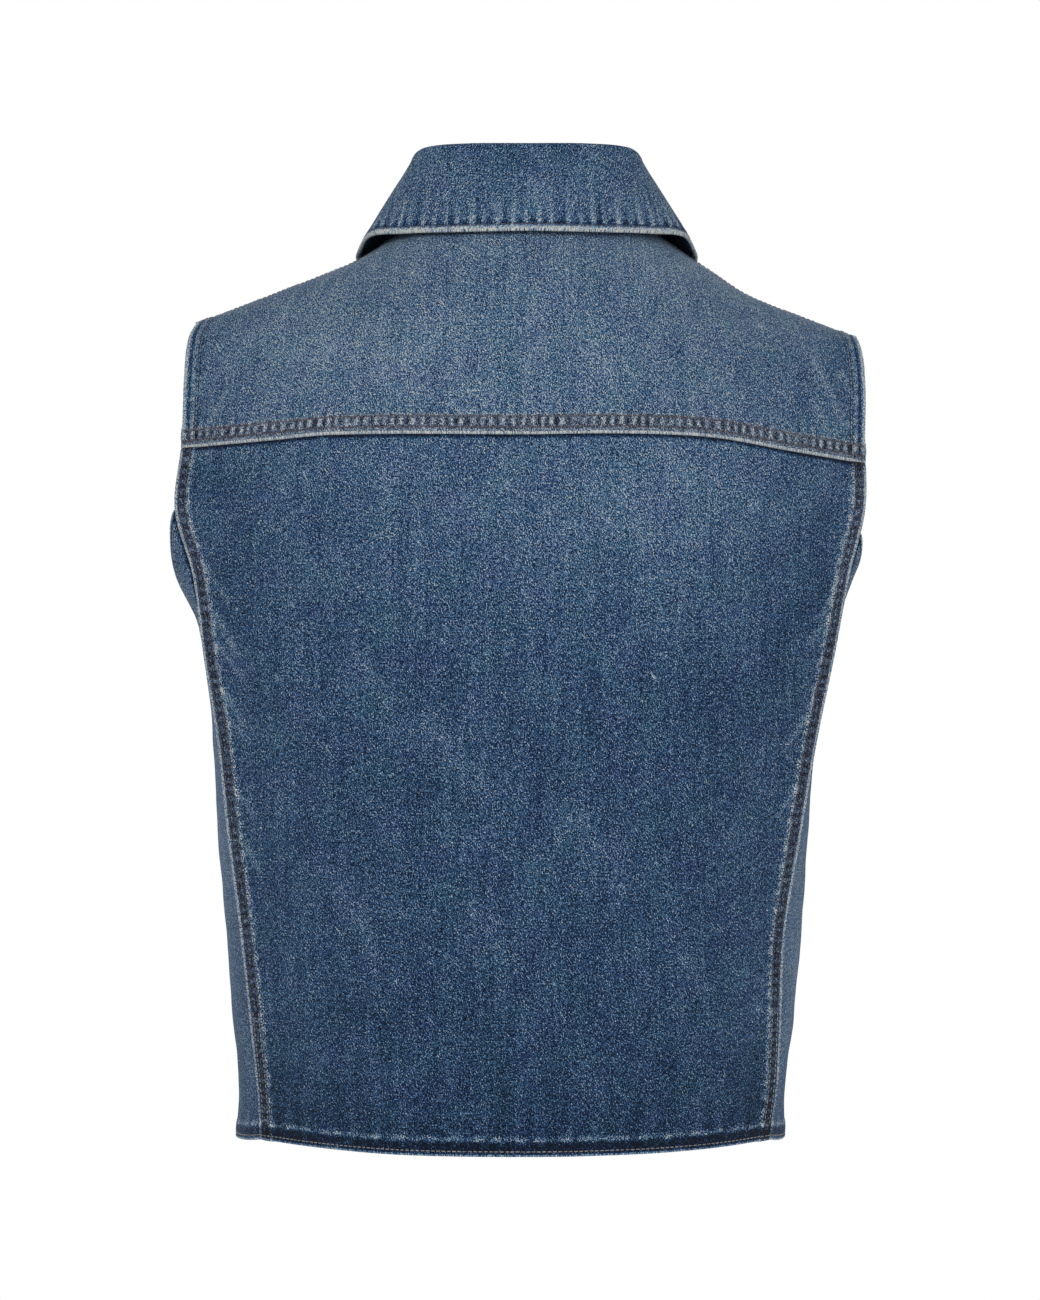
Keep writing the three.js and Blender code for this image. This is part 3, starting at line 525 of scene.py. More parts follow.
def body_normal(x, turn):
    along_x = body(x + 0.0005, turn) - body(x - 0.0005, turn)
    along_turn = body(x, turn + 0.004) - body(x, turn - 0.004)
    return unit(np.cross(along_x, along_turn))


def neck_point(angle):
    """The neck hole at an angle round it from the centre back, as x and turn."""
    cosine = np.cos(angle)
    turn = cosine * np.where(cosine > 0, NECK["back_turn"], NECK["front_turn"])
    return NECK_X + NECK["half_width"] * np.sin(angle), turn


def edge_at_turn(face, side, turn):
    """The armhole edge or seam of the back or a front, as x and turn."""
    edge = back_edge if face == "back" else front_edge
    x = np.full(np.shape(turn), side * SHOULDER_HALF)
    for _ in range(3):
        x = edge(side, body(x, turn)[..., 2])
    return x, turn


def fine_lines(length, spacing, start=0.0, end=0.0, fine=0.001, through=()):
    """Shares of a length for grid lines, close together for a distance from start and end."""
    first = np.arange(0, start, fine)
    last = length - np.arange(0, end, fine)
    count = max(2, round((length - start - end) / spacing))
    middle = np.linspace(start, length - end, count + 1)
    kept = [np.array([share * length]) for share in through]
    for share in through:
        middle = middle[np.abs(middle - share * length) > spacing / 3]
    return np.unique(np.concatenate([first, middle, last, *kept]).round(7)) / length


def coons(s, t, bottom, top, starts, ends):
    """A grid between four edges, each given as x and turn at the shares s or t."""
    grids = []
    for k in (0, 1):
        across = lerp(bottom[k][:, None], top[k][:, None], t[None, :])
        up = lerp(starts[k][None, :], ends[k][None, :], s[:, None])
        low = lerp(bottom[k][0], bottom[k][-1], s)[:, None]
        high = lerp(top[k][0], top[k][-1], s)[:, None]
        grids.append(across + up - lerp(low, high, t[None, :]))
    return grids


def grown_top(points, reach):
    """The grid with one more line past its top, where the cloth goes under its neighbour."""
    step = unit(points[:, -1] - points[:, -2]) * reach
    return np.concatenate([points, (points[:, -1] + step)[:, None]], axis=1)


class Sheet:
    """A piece of cloth on a grid of points: first index across, second index up."""

    def __init__(self, points, middle=None, tucked=None):
        self.points = points
        steps_across = np.linalg.norm(np.diff(points, axis=0), axis=-1)
        steps_up = np.linalg.norm(np.diff(points, axis=1), axis=-1)
        self.across = np.pad(np.cumsum(steps_across, axis=0), ((1, 0), (0, 0)))
        self.up = np.pad(np.cumsum(steps_up, axis=1), ((0, 0), (1, 0)))
        tucked = tucked or {}
        self.distance = {
            "start": self.across - tucked.get("start", 0),
            "end": self.across[-1:] - self.across - tucked.get("end", 0),
            "bottom": self.up - tucked.get("bottom", 0),
            "top": self.up[:, -1:] - self.up - tucked.get("top", 0),
        }
        middle = len(points) // 2 if middle is None else middle
        self.u = self.across - self.across[middle][None, :]
        self.normals = self.grid_normals()
        self.height = np.zeros(points.shape[:2])
        self.wear_and_shading = np.zeros(points.shape[:2])
        self.edge = np.full(points.shape[:2], FAR_FROM_EDGE)
        self.tone = np.zeros(points.shape[:2])
        self.grey = np.zeros(points.shape[:2])

    def grid_normals(self):
        along = np.gradient(self.points, axis=0)
        upward = np.gradient(self.points, axis=1)
        normals = unit(np.cross(along, upward))
        centre = np.array([0, 0, self.points[..., 2].mean() - 0.1])
        self.flipped = ((self.points - centre) * normals).sum() < 0
        return -normals if self.flipped else normals

    def along_edge(self, side):
        """The length along an edge, carried in along the grid's lines."""
        if side in ("start", "end"):
            return np.broadcast_to(self.up[0 if side == "start" else -1][None, :], self.up.shape)
        edge = self.across[:, 0 if side == "bottom" else -1]
        return np.broadcast_to((edge - edge[len(edge) // 2])[:, None], self.up.shape)

    def turn_over(self):
        self.normals = -self.normals
        self.flipped = not self.flipped

    def outer(self):
        return self.points + self.normals * self.height[..., None]

    def inner(self, thickness):
        return self.points - self.normals * thickness


def uneven(along, size, seed):
    """A smooth irregular value from 0 to 1 along a line, with features of about a size."""
    total = np.zeros(np.shape(along))
    for k, share in enumerate((1.0, 0.618, 1.414)):
        phase = 2.4 * k + 1.7 * seed
        total = total + np.sin(2 * math.pi * along / (size * share) + phase) / 3
    return np.clip(0.5 + 0.62 * total, 0, 1)


def sew(sheet, side, band, seed, mask=1.0, worn=1.0):
    """Raises a sewn edge with its puckers and rows, and wears its crests."""
    d = sheet.distance[side]
    along = sheet.along_edge(side)
    flat = 1 - smoothstep(d, band["width"], band["width"] + band["slope"])
    sheet.height += mask * band["rise"] * flat
    sheet.grey = np.maximum(sheet.grey, mask * flat * band["grey"])
    # Each row and groove sinks, and row_shade paints shade along it
    for row in (*band["rows"], *band["grooves"]):
        sunk = np.exp(-(((d - row) / SUNK_ROW["half_width"]) ** 2))
        sheet.height -= mask * SUNK_ROW["depth"] * sunk
        sheet.wear_and_shading += mask * band["row_shade"] * sunk
    middle, half = band["window"]
    jitter = PITCH_DRIFT * band["pitch"] * uneven(along, UNEVEN["pitch"], seed + 3)
    phase = 2 * math.pi * (along + jitter) / band["pitch"]
    wave = 0.5 + 0.5 * np.sin(phase)
    strength = 0.35 + 0.65 * uneven(along, UNEVEN["strength"], seed)
    window = mask * np.exp(-(((d - middle) / half) ** 4)) * strength
    sheet.height += band["pucker"] * window * wave
    sheet.wear_and_shading += band["contrast"] * window * (1.35 * wave ** 1.5 - 0.65)
    sheet.wear_and_shading += mask * band["shade"] * np.exp(-(((d - middle) / half) ** 4))
    ragged = band["width"] + BORDER_DRIFT * (uneven(along, UNEVEN["border"], seed + 6) - 0.5)
    crest = np.exp(-(((d - ragged) / CREST_HALF_WIDTH) ** 2))
    broken = 0.20 + 0.80 * uneven(along, UNEVEN["crest"], seed + 1)
    sheet.wear_and_shading += mask * band["ridge"] * crest * broken
    past = d - max(band["rows"][-1], band["width"])
    outer_phase = 2 * math.pi * (along + jitter) / band["outer_pitch"]
    outer_wave = 0.5 + 0.5 * np.sin(outer_phase)
    tall = band["reach"] * (0.35 + 0.8 * uneven(along, UNEVEN["reach"], seed + 2))
    fringe = mask * np.where(past > 0, np.exp(-((np.maximum(past, 0) / tall) ** 1.5)), 0)
    fringe = fringe * (0.15 + 1.1 * uneven(along, UNEVEN["fringe"], seed + 5))
    sheet.height += band["pucker"] * 0.8 * fringe * outer_wave
    sheet.wear_and_shading += band["outer"] * fringe * (1.9 * outer_wave ** 2 - 0.7)
    if worn:
        rim = mask * (1 - smoothstep(d / (band["worn"] * worn), 0.6, 1.1))
        sheet.tone = sheet.tone + band["rim"] * rim
        near = np.where(np.asarray(mask) > 0.5, d / (band["worn"] * worn), FAR_FROM_EDGE)
        sheet.edge = np.minimum(sheet.edge, near)


def tuck_under(sheet, side, mask=1.0):
    """Sinks an edge that goes under its neighbour, and leaves it in shade."""
    d = sheet.distance[side]
    sheet.height -= mask * TUCK["dip"] * (1 - smoothstep(d, 0, TUCK["width"]))
    # Painted shadow along the neighbour's overhanging edge
    sheet.wear_and_shading -= mask * TUCK["shade"] * np.exp(-((np.maximum(d, 0) / TUCK["shadow"]) ** 4))


def press_creases(sheet, face):
    """Lays the small creases and the cloth's slight unevenness on a sheet."""
    x, z = sheet.points[..., 0], sheet.points[..., 2]
    crease = fold_at(face, x, z, CREASES)
    sheet.height += crease
    # Wear and painted highlight on the crease crests, painted shade in any sunk crease
    sheet.wear_and_shading += np.clip(crease / CREASE_WEAR_AND_LIGHT["full_depth"], -1, 1) * CREASE_WEAR_AND_LIGHT["amount"]
    ripple = np.sin(x * 92 + 4 * np.sin(z * 31)) * np.sin(z * 67 + 3 * np.sin(x * 38 + 1.3))
    small = np.sin(x * 310 + 2 * np.sin(z * 120)) * np.sin(z * 205 + 2 * np.sin(x * 140 + 0.7))
    inside = smoothstep(np.minimum.reduce(list(sheet.distance.values())), 0.0, RIPPLE["margin"])
    sheet.height += inside * (RIPPLE["height"] * ripple + RIPPLE["small_height"] * small)
    # The tone follows the ripple: paler on its crests, darker in its hollows
    sheet.wear_and_shading += RIPPLE["wear_and_shading"] * ripple * inside


def add_patches(sheet, face):
    """Fades and darkens the sheet's tone in the soft patches of a face."""
    x, z = sheet.points[..., 0], sheet.points[..., 2]
    for middle_x, middle_z, half_x, half_z, change in PATCHES.get(face, ()):
        far = ((x - middle_x) / half_x) ** 2 + ((z - middle_z) / half_z) ** 2
        sheet.tone = sheet.tone + change * np.exp(-far)


def tone_and_painted_light(sheet, face):
    """Gives a sheet its tone by height and its soft patches."""
    sheet.tone = tone_level(sheet.points[..., 2], face)
    add_patches(sheet, face)


def shell_mesh(name, sheet, thickness):
    """A closed thin shell: two layers of a sheet's grid joined by a rounded rim."""
    outer, inner = sheet.outer(), sheet.inner(thickness)
    across, up = sheet.points.shape[:2]
    index = np.arange(across * up).reshape(across, up)
    loop = np.concatenate([index[:-1, 0], index[-1, :-1], index[:0:-1, -1], index[0, :0:-1]])
    away = np.zeros_like(outer)
    away[0] += unit(outer[0] - outer[1])
    away[-1] += unit(outer[-1] - outer[-2])
    away[:, 0] += unit(outer[:, 0] - outer[:, 1])
    away[:, -1] += unit(outer[:, -1] - outer[:, -2])
    flat_outer, flat_inner = outer.reshape(-1, 3), inner.reshape(-1, 3)
    centre = (flat_outer[loop] + flat_inner[loop]) / 2
    half = (flat_outer[loop] - flat_inner[loop]) / 2
    outward = unit(away.reshape(-1, 3)[loop]) * np.linalg.norm(half, axis=1)[:, None] * 0.8
    rings = []
    for turn in (45, 90, 135):
        angle = math.radians(turn)
        rings.append(centre + half * math.cos(angle) + outward * math.sin(angle))
    vertices = np.concatenate([flat_outer, flat_inner, *rings])
    quads = np.stack([index[:-1, :-1], index[1:, :-1], index[1:, 1:], index[:-1, 1:]], axis=-1)
    quads = quads.reshape(-1, 4)
    count = across * up
    ids = [loop, *[2 * count + k * len(loop) + np.arange(len(loop)) for k in range(3)], loop + count]
    rim = [
        np.stack([a, b, np.roll(b, -1), np.roll(a, -1)], axis=-1) for a, b in zip(ids, ids[1:])
    ]
    faces = np.concatenate([quads, quads[:, ::-1] + count, *rim])
    if sheet.flipped:
        faces = faces[:, ::-1]
    mesh = bpy.data.meshes.new(name)
    mesh.vertices.add(len(vertices))
    mesh.vertices.foreach_set("co", vertices.astype(np.float32).ravel())
    mesh.loops.add(faces.size)
    mesh.loops.foreach_set("vertex_index", faces.astype(np.int32).ravel())
    mesh.polygons.add(len(faces))
    mesh.polygons.foreach_set("loop_start", np.arange(0, faces.size, 4, dtype=np.int32))
    side = np.zeros(len(faces), np.int32)
    side[len(quads):2 * len(quads)] = 1
    mesh.polygons.foreach_set("material_index", side)
    mesh.update(calc_edges=True)
    mesh.shade_smooth()

    def spread(values):
        flat = np.asarray(values, float).ravel()
        return np.concatenate([flat, flat, *[flat[loop]] * 3])

    cloth_map = mesh.uv_layers.new(name="cloth")
    corners = np.stack([spread(sheet.u), spread(sheet.up)], axis=-1)[faces.ravel()]
    cloth_map.data.foreach_set("uv", corners.astype(np.float32).ravel())
    for key in ("tone", "wear_and_shading", "edge", "grey"):
        attribute = mesh.attributes.new(key, "FLOAT", "POINT")
        values = spread(getattr(sheet, key)).astype(np.float32)
        attribute.data.foreach_set("value", values)
    return mesh


def new_piece(name, mesh, materials):
    """An object in the scene that rides on the vest's one body."""
    piece = bpy.data.objects.new(name, mesh)
    bpy.context.scene.collection.objects.link(piece)
    for material in materials:
        mesh.materials.append(material)
    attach(piece, "root")
    return piece


def sewing_line(sheet, side, distance, keep=None):
    """Points and normals on a sheet's outer face at a distance from one of its edges."""
    outer = sheet.outer()
    d, normals = sheet.distance[side], sheet.normals
    if side in ("start", "end"):
        outer, d, normals = outer.swapaxes(0, 1), d.T, normals.swapaxes(0, 1)
    if side in ("end", "top"):
        outer, d, normals = outer[:, ::-1], d[:, ::-1], normals[:, ::-1]
    points, ways = [], []
    for k in range(len(outer)):
        if keep is not None and not keep[k]:
            continue
        points.append([np.interp(distance, d[k], outer[k, :, c]) for c in range(3)])
        ways.append([np.interp(distance, d[k], normals[k, :, c]) for c in range(3)])
    return np.array(points), unit(np.array(ways))


def stitch_mesh(name, lines):
    """Rows of short thread stitches along lines, each a rounded bar that dips in at its ends."""
    vertices, faces = [], []
    sides = 5
    profile = ((-0.50, -0.9, 0.55), (-0.34, 0.25, 0.95), (0.34, 0.25, 0.95), (0.50, -0.9, 0.55))
    angles = 2 * math.pi * np.arange(sides) / sides
    size = len(profile) * sides
    pattern = []
    for low in range(0, size - sides, sides):
        for a in range(sides):
            b = (a + 1) % sides
            pattern.append((low + a, low + b, low + sides + b, low + sides + a))
    pattern.append(tuple(range(sides))[::-1])
    pattern.append(tuple(range(size - sides, size)))
    for points, normals in lines:
        reach = np.pad(np.cumsum(np.linalg.norm(np.diff(points, axis=0), axis=1)), (1, 0))
        middles = np.arange(STITCH["pitch"] / 2, reach[-1], STITCH["pitch"])

        def at(where, values):
            return np.stack([np.interp(where, reach, values[:, c]) for c in range(3)], axis=-1)

        centre, normal = at(middles, points), unit(at(middles, normals))
        ahead = at(middles + STITCH["length"] / 2, points) - at(middles - STITCH["length"] / 2, points)
        along = unit(ahead)
        aside = unit(np.cross(along, normal))
        bar = []
        for place, lift, thick in profile:
            radius = STITCH["radius"] * thick
            ring = centre + along * place * STITCH["length"] + normal * lift * STITCH["radius"]
            for angle in angles:
                out = normal * math.cos(angle) + aside * math.sin(angle)
                bar.append(ring + out * radius)
        bar = np.stack(bar, axis=1)
        base = len(vertices)
        vertices.extend(bar.reshape(-1, 3).tolist())
        for first in range(base, len(vertices), size):
            faces.extend(tuple(first + corner for corner in face) for face in pattern)
    mesh = bpy.data.meshes.new(name)
    mesh.from_pydata(vertices, [], faces)
    mesh.update()
    mesh.shade_smooth()
    return mesh


def add_stitching(name, lines, material):
    piece = new_piece(name, stitch_mesh(name, lines), [material])
    return piece


def connect(tree, made, inputs):
    """Sets a node's inputs, which are values or other sockets."""
    for key, value in inputs.items():
        if isinstance(value, bpy.types.NodeSocket):
            tree.links.new(value, made.inputs[key])
        else:
            made.inputs[key].default_value = value


def node(tree, kind, inputs=None, **settings):
    """A shader node with its settings and its inputs."""
    made = tree.nodes.new(kind)
    for key, value in settings.items():
        setattr(made, key, value)
    connect(tree, made, inputs or {})
    return made


def combine(tree, operation, *values):
    """The result of a Math node."""
    inputs = dict(enumerate(values))
    return node(tree, "ShaderNodeMath", inputs, operation=operation).outputs[0]


def wave(tree, value, pitch):
    """A sine along a value, with one turn for each pitch."""
    return combine(tree, "SINE", combine(tree, "MULTIPLY", value, 2 * math.pi / pitch))


def noise(tree, vector, scale, detail, roughness=0.5):
    """Noise centred on 0."""
    settings = {"Vector": vector, "Scale": scale, "Detail": detail, "Roughness": roughness}
    made = node(tree, "ShaderNodeTexNoise", settings, noise_dimensions="2D")
    return combine(tree, "SUBTRACT", made.outputs["Fac"], 0.5)


def stretched(tree, vector, scale):
    return node(tree, "ShaderNodeMapping", {"Vector": vector, "Scale": scale}).outputs[0]


def slanted(tree, vector, degrees, stretch):
    """The cloth's map turned by an angle and drawn out along it."""
    turn = (0, 0, math.radians(degrees))
    inputs = {"Vector": vector, "Rotation": turn, "Scale": (1.0, stretch, 1.0)}
    return node(tree, "ShaderNodeMapping", inputs, vector_type="TEXTURE").outputs[0]


def solid_noise(tree, place, scale, detail):
    inputs = {"Vector": place, "Scale": scale, "Detail": detail}
    return node(tree, "ShaderNodeTexNoise", inputs).outputs["Fac"]


def mottled(tree, value, dark, light):
    """A colour between two, each given with its place on the value's scale."""
    ramp = node(tree, "ShaderNodeValToRGB", {"Fac": value})
    for stop, (place, color) in zip(ramp.color_ramp.elements, (dark, light)):
        stop.position = place
        stop.color = (*color, 1)
    return ramp.outputs["Color"]


def relief(tree, surface, height, strength, distance):
    """Bumps a surface by a height, on top of its mesh."""
    inputs = {"Height": height, "Strength": strength, "Distance": distance}
    bump = node(tree, "ShaderNodeBump", inputs)
    connect(tree, surface, {"Normal": bump.outputs[0]})


def new_group(name, inputs, outputs):
    """An empty shader node group with its sockets."""
    group = bpy.data.node_groups.new(name, "ShaderNodeTree")
    for label, kind, default in inputs:
        socket = group.interface.new_socket(label, in_out="INPUT", socket_type=kind)
        if default is not None:
            socket.default_value = default
    for label, kind in outputs:
        group.interface.new_socket(label, in_out="OUTPUT", socket_type=kind)
    return group, group.nodes.new("NodeGroupInput"), group.nodes.new("NodeGroupOutput")


def denim_group():
    """Twill denim: speckled dye on a diagonal weave, worn pale on crests and folded edges."""
    name = "Denim weave"
    if name in bpy.data.node_groups:
        return bpy.data.node_groups[name]
    group, given, result = new_group(
        name,
        [
            ("Cloth", "NodeSocketVector", None),
            ("Tone", "NodeSocketFloat", 0.3),
            ("Wear_And_Shading", "NodeSocketFloat", 0.0),
            ("Edge", "NodeSocketFloat", FAR_FROM_EDGE),
        ],
        [("Color", "NodeSocketColor"), ("Height", "NodeSocketFloat"), ("Roughness", "NodeSocketFloat")],
    )
    cloth = given.outputs["Cloth"]
    yarns = stretched(group, cloth, (1.0, 0.62, 1.0))
    fine = noise(group, yarns, 1750, 1.5, 0.6)
    leaning = slanted(group, cloth, -30, 2.8)
    ribs = noise(group, leaning, 1250, 1.5)
    clump = noise(group, yarns, 420, 1.0)
    cloud = noise(group, cloth, 30, 2.0, 0.55)
    blotch = noise(group, yarns, 105, 1.0)
    scuffs = combine(group, "SUBTRACT", noise(group, leaning, 170, 2.0, 0.6), 0.10)
    scuffs = combine(group, "MAXIMUM", scuffs, 0.0)
    # crinkles: thin pale diagonal streaks, painted highlights of small wrinkles and their wear
    crinkles = noise(group, slanted(group, cloth, -34, 6.0), 700, 1.0)
    crinkles = combine(group, "MAXIMUM", combine(group, "SUBTRACT", crinkles, 0.07), 0.0)
    crinkles = combine(group, "MULTIPLY", crinkles, combine(group, "ADD", scuffs, 0.12))
    streak = noise(group, stretched(group, cloth, (1.0, 0.04, 1.0)), 380, 1.5)
    slub = noise(group, stretched(group, cloth, (1.0, 0.10, 1.0)), 120, 1.0)
    parts = node(group, "ShaderNodeSeparateXYZ", {"Vector": cloth})
    diagonal = combine(group, "MULTIPLY_ADD", parts.outputs["Y"], -0.58, parts.outputs["X"])
    twill = wave(group, diagonal, TWILL_PITCH)
    weft = wave(group, parts.outputs["Y"], WEFT_PITCH)
    grain = combine(group, "MULTIPLY", fine, 1.95)
    mix = (
        (ribs, 0.75), (clump, 0.22), (blotch, 0.09), (streak, 0.13), (slub, 0.07), (scuffs, 0.34),
        (crinkles, 4.2), (twill, 0.030), (weft, 0.012),
    )
    for part, amount in mix:
        grain = combine(group, "MULTIPLY_ADD", part, amount, grain)
    # The sheet's wear and its painted light and shade, made patchy by the fine grain
    patchy = combine(group, "MULTIPLY_ADD", fine, 2.2, 1.0)
    worn_and_shaded = combine(group, "MULTIPLY", combine(group, "MULTIPLY", given.outputs["Wear_And_Shading"], 0.16), patchy)
    ragged = combine(group, "MULTIPLY_ADD", fine, 1.1, given.outputs["Edge"])
    ragged = combine(group, "MULTIPLY_ADD", clump, 0.9, ragged)
    border = node(
        group,
        "ShaderNodeMapRange",
        {"Value": ragged, "From Min": 0.70, "From Max": 1.15, "To Min": 0.25, "To Max": 0.0},
        interpolation_type="SMOOTHSTEP",
    ).outputs[0]
    tone = combine(group, "MULTIPLY_ADD", cloud, 0.10, given.outputs["Tone"])
    for part in (grain, worn_and_shaded, border):
        tone = combine(group, "ADD", tone, part)
    ramp = node(group, "ShaderNodeValToRGB", {"Fac": tone})
    stops = ramp.color_ramp.elements
    while len(stops) < len(DENIM_RAMP):
        stops.new(0.5)
    for stop, (place, color) in zip(stops, DENIM_RAMP):
        stop.position = place
        stop.color = (*color, 1)
    height = combine(group, "MULTIPLY_ADD", twill, 0.30, combine(group, "MULTIPLY", fine, 1.6))
    height = combine(group, "MULTIPLY_ADD", weft, 0.12, height)
    rough = combine(group, "MULTIPLY_ADD", fine, -0.15, 0.90)
    drift = combine(group, "MULTIPLY_ADD", noise(group, cloth, 42, 1.0), 0.035, 0.5)
    tint = node(group, "ShaderNodeHueSaturation", {"Hue": drift, "Color": ramp.outputs["Color"]})
    connect(group, result, {"Color": tint.outputs[0], "Height": height, "Roughness": rough})
    return group


def new_material(name):
    """A material with a plain surface shader to build on."""
    material = bpy.data.materials.new(name)
    material.use_nodes = True
    tree = material.node_tree
    tree.nodes.clear()
    surface = tree.nodes.new("ShaderNodeBsdfPrincipled")
    output = tree.nodes.new("ShaderNodeOutputMaterial")
    tree.links.new(surface.outputs[0], output.inputs["Surface"])
    return material, tree, surface


def denim_material(name, wrong_side=False):
    """Denim that follows a sheet's own map, tone, wear and edges. The wrong side shows the weft."""
    if name in bpy.data.materials:
        return bpy.data.materials[name]
    material, tree, surface = new_material(name)
    read = {
        key.title(): node(tree, "ShaderNodeAttribute", attribute_name=key).outputs["Fac"]
        for key in ("tone", "wear_and_shading", "edge", "grey")
    }
    colorful = combine(tree, "MULTIPLY_ADD", read.pop("Grey"), -1.0, 1.0)
    cloth_map = node(tree, "ShaderNodeUVMap", uv_map="cloth").outputs[0]
    weave = node(tree, "ShaderNodeGroup", node_tree=denim_group())
    connect(tree, weave, {"Cloth": cloth_map, **read})
    dulled = {"Color": weave.outputs["Color"], "Saturation": colorful}
    color = node(tree, "ShaderNodeHueSaturation", dulled).outputs["Color"]
    if wrong_side:
        weft_side = {0: 0.62, 6: color, 7: (*srgb(152, 160, 166), 1)}
        color = node(tree, "ShaderNodeMix", weft_side, data_type="RGBA").outputs[2]
    looks = {
        "Base Color": color,
        "Roughness": weave.outputs["Roughness"],
        "Specular IOR Level": 0.15,
        "Sheen Weight": 0.06,
        "Sheen Tint": (0.72, 0.86, 1.0, 1),
        "Sheen Roughness": 0.55,
    }
    connect(tree, surface, looks)
    relief(tree, surface, weave.outputs["Height"], 0.55, 0.00022)
    return material


def thread_material(name, color):
    """Spun sewing thread: uneven colour and fine twisted strands."""
    if name in bpy.data.materials:
        return bpy.data.materials[name]
    material, tree, surface = new_material(name)
    place = node(tree, "ShaderNodeTexCoord").outputs["Object"]
    dark, light = [0.45 * c for c in color], [min(1.0, 1.25 * c) for c in color]
    spun = mottled(tree, solid_noise(tree, place, 420.0, 2.0), (0.30, dark), (0.70, light))
    connect(tree, surface, {"Base Color": spun, "Roughness": 0.72, "Specular IOR Level": 0.3})
    relief(tree, surface, solid_noise(tree, place, 2600.0, 1.0), 0.5, 0.0001)
    return material


def metal_material(name, color):
    """Aged metal: brushed by use, dull in its hollows."""
    if name in bpy.data.materials:
        return bpy.data.materials[name]
    material, tree, surface = new_material(name)
    place = node(tree, "ShaderNodeTexCoord").outputs["Object"]
    stain = solid_noise(tree, place, 260.0, 4.0)
    aged = mottled(tree, stain, (0.35, [0.55 * c for c in color]), (0.65, color))
    span = {"Value": stain, "To Min": 0.22, "To Max": 0.50}
    rough = node(tree, "ShaderNodeMapRange", span).outputs[0]
    connect(tree, surface, {"Base Color": aged, "Roughness": rough, "Metallic": 1.0})
    relief(tree, surface, solid_noise(tree, place, 1800.0, 2.0), 0.15, 0.0001)
    return material


def settings_now():
    return bpy.context.scene.denim_vest


def tan_thread():
    return thread_material("tan_thread", tuple(settings_now().tan_thread))


def pale_thread():
    return thread_material("pale_thread", tuple(settings_now().pale_thread))


def add_cloth(name, sheet, thickness=CLOTH, wrong_side=True):
    """Makes a sheet's piece, which stands for the solid of the same name."""
    denim = denim_material("denim")
    inside = denim_material("denim_wrong_side", wrong_side=True) if wrong_side else denim
    mesh = shell_mesh(name + "_cloth", sheet, thickness)
    piece = new_piece(name + "_cloth", mesh, [denim, inside])
    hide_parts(name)


def yoke_seam_edge(s):
    right = back_edge(-1, yoke_seam(-SHOULDER_HALF, "z"))
    left = back_edge(1, yoke_seam(SHOULDER_HALF, "z"))
    x = lerp(right, left, s)
    return x, turn_at("back", x, yoke_seam(x, "z"))


def back_panel_sheet():
    s = fine_lines(*GRIDS["back_across"])[:, None]
    t = fine_lines(*GRIDS["back_up"])[None, :]
    hem = hem_height(2 * s - 1)
    seam_x, _ = yoke_seam_edge(s)
    z = lerp(hem, yoke_seam(seam_x, "z"), t)
    x = lerp(back_edge(-1, z), back_edge(1, z), s)
    points = grown_top(body(x, turn_at("back", x, z)), TUCK["reach"])
    return Sheet(points, tucked={"top": TUCK["reach"]})


def make_back_panel():
    """The back panel: hemmed below, felled at its side seams and armholes, under the yoke above."""
    sheet = back_panel_sheet()
    tone_and_painted_light(sheet, "back")
    press_creases(sheet, "back")
    z = sheet.points[..., 2]
    lines, seams = [], []
    for seed, side in enumerate(("start", "end")):
        sew(sheet, side, FELL, seed)
        low = z[-seed] < PALE_THREAD_BELOW
        for row in FELL["rows"]:
            lines.append(sewing_line(sheet, side, row, keep=low))
            seams.append(sewing_line(sheet, side, row, keep=~low))
    sew(sheet, "bottom", HEM, 9)
    tuck_under(sheet, "top")
    lines.append(sewing_line(sheet, "bottom", HEM["rows"][0]))
    stitches = [
        add_stitching("back_panel_stitching", lines, pale_thread()),
        add_stitching("back_panel_seam_stitching", seams, tan_thread()),
    ]
    add_cloth("back_panel", sheet)


def yoke_sheet():
    corner = (1 - YOKE_NECK_SHARE) / 2
    s = fine_lines(*GRIDS["yoke_across"], through=(corner, 1 - corner))
    t = fine_lines(*GRIDS["yoke_up"])
    half = np.abs(2 * s - 1)
    side = np.where(s < 0.5, -1, 1)
    neck_x, neck_turn = neck_point(side * np.minimum(half / YOKE_NECK_SHARE, 1) * math.pi / 2)
    along = np.clip((half - YOKE_NECK_SHARE) / (1 - YOKE_NECK_SHARE), 0, 1)
    right_tip = edge_at_turn("front", -1, np.array(-SHOULDER_SEAM_TURN))[0]
    left_tip = edge_at_turn("front", 1, np.array(-SHOULDER_SEAM_TURN))[0]
    top = (
        lerp(neck_x, np.where(side > 0, left_tip, right_tip), along),
        lerp(neck_turn, -SHOULDER_SEAM_TURN, along),
    )
    bottom = yoke_seam_edge(s)
    edges = []
    for sign, seam_turn in ((-1, bottom[1][0]), (1, bottom[1][-1])):
        turn = lerp(seam_turn, -SHOULDER_SEAM_TURN, t)
        back_x, _ = edge_at_turn("back", sign, turn)
        front_x, _ = edge_at_turn("front", sign, turn)
        edges.append((np.where(turn >= 0, back_x, front_x), turn))
    x, turn = coons(s, t, bottom, top, *edges)
    return Sheet(body(x, turn)), s


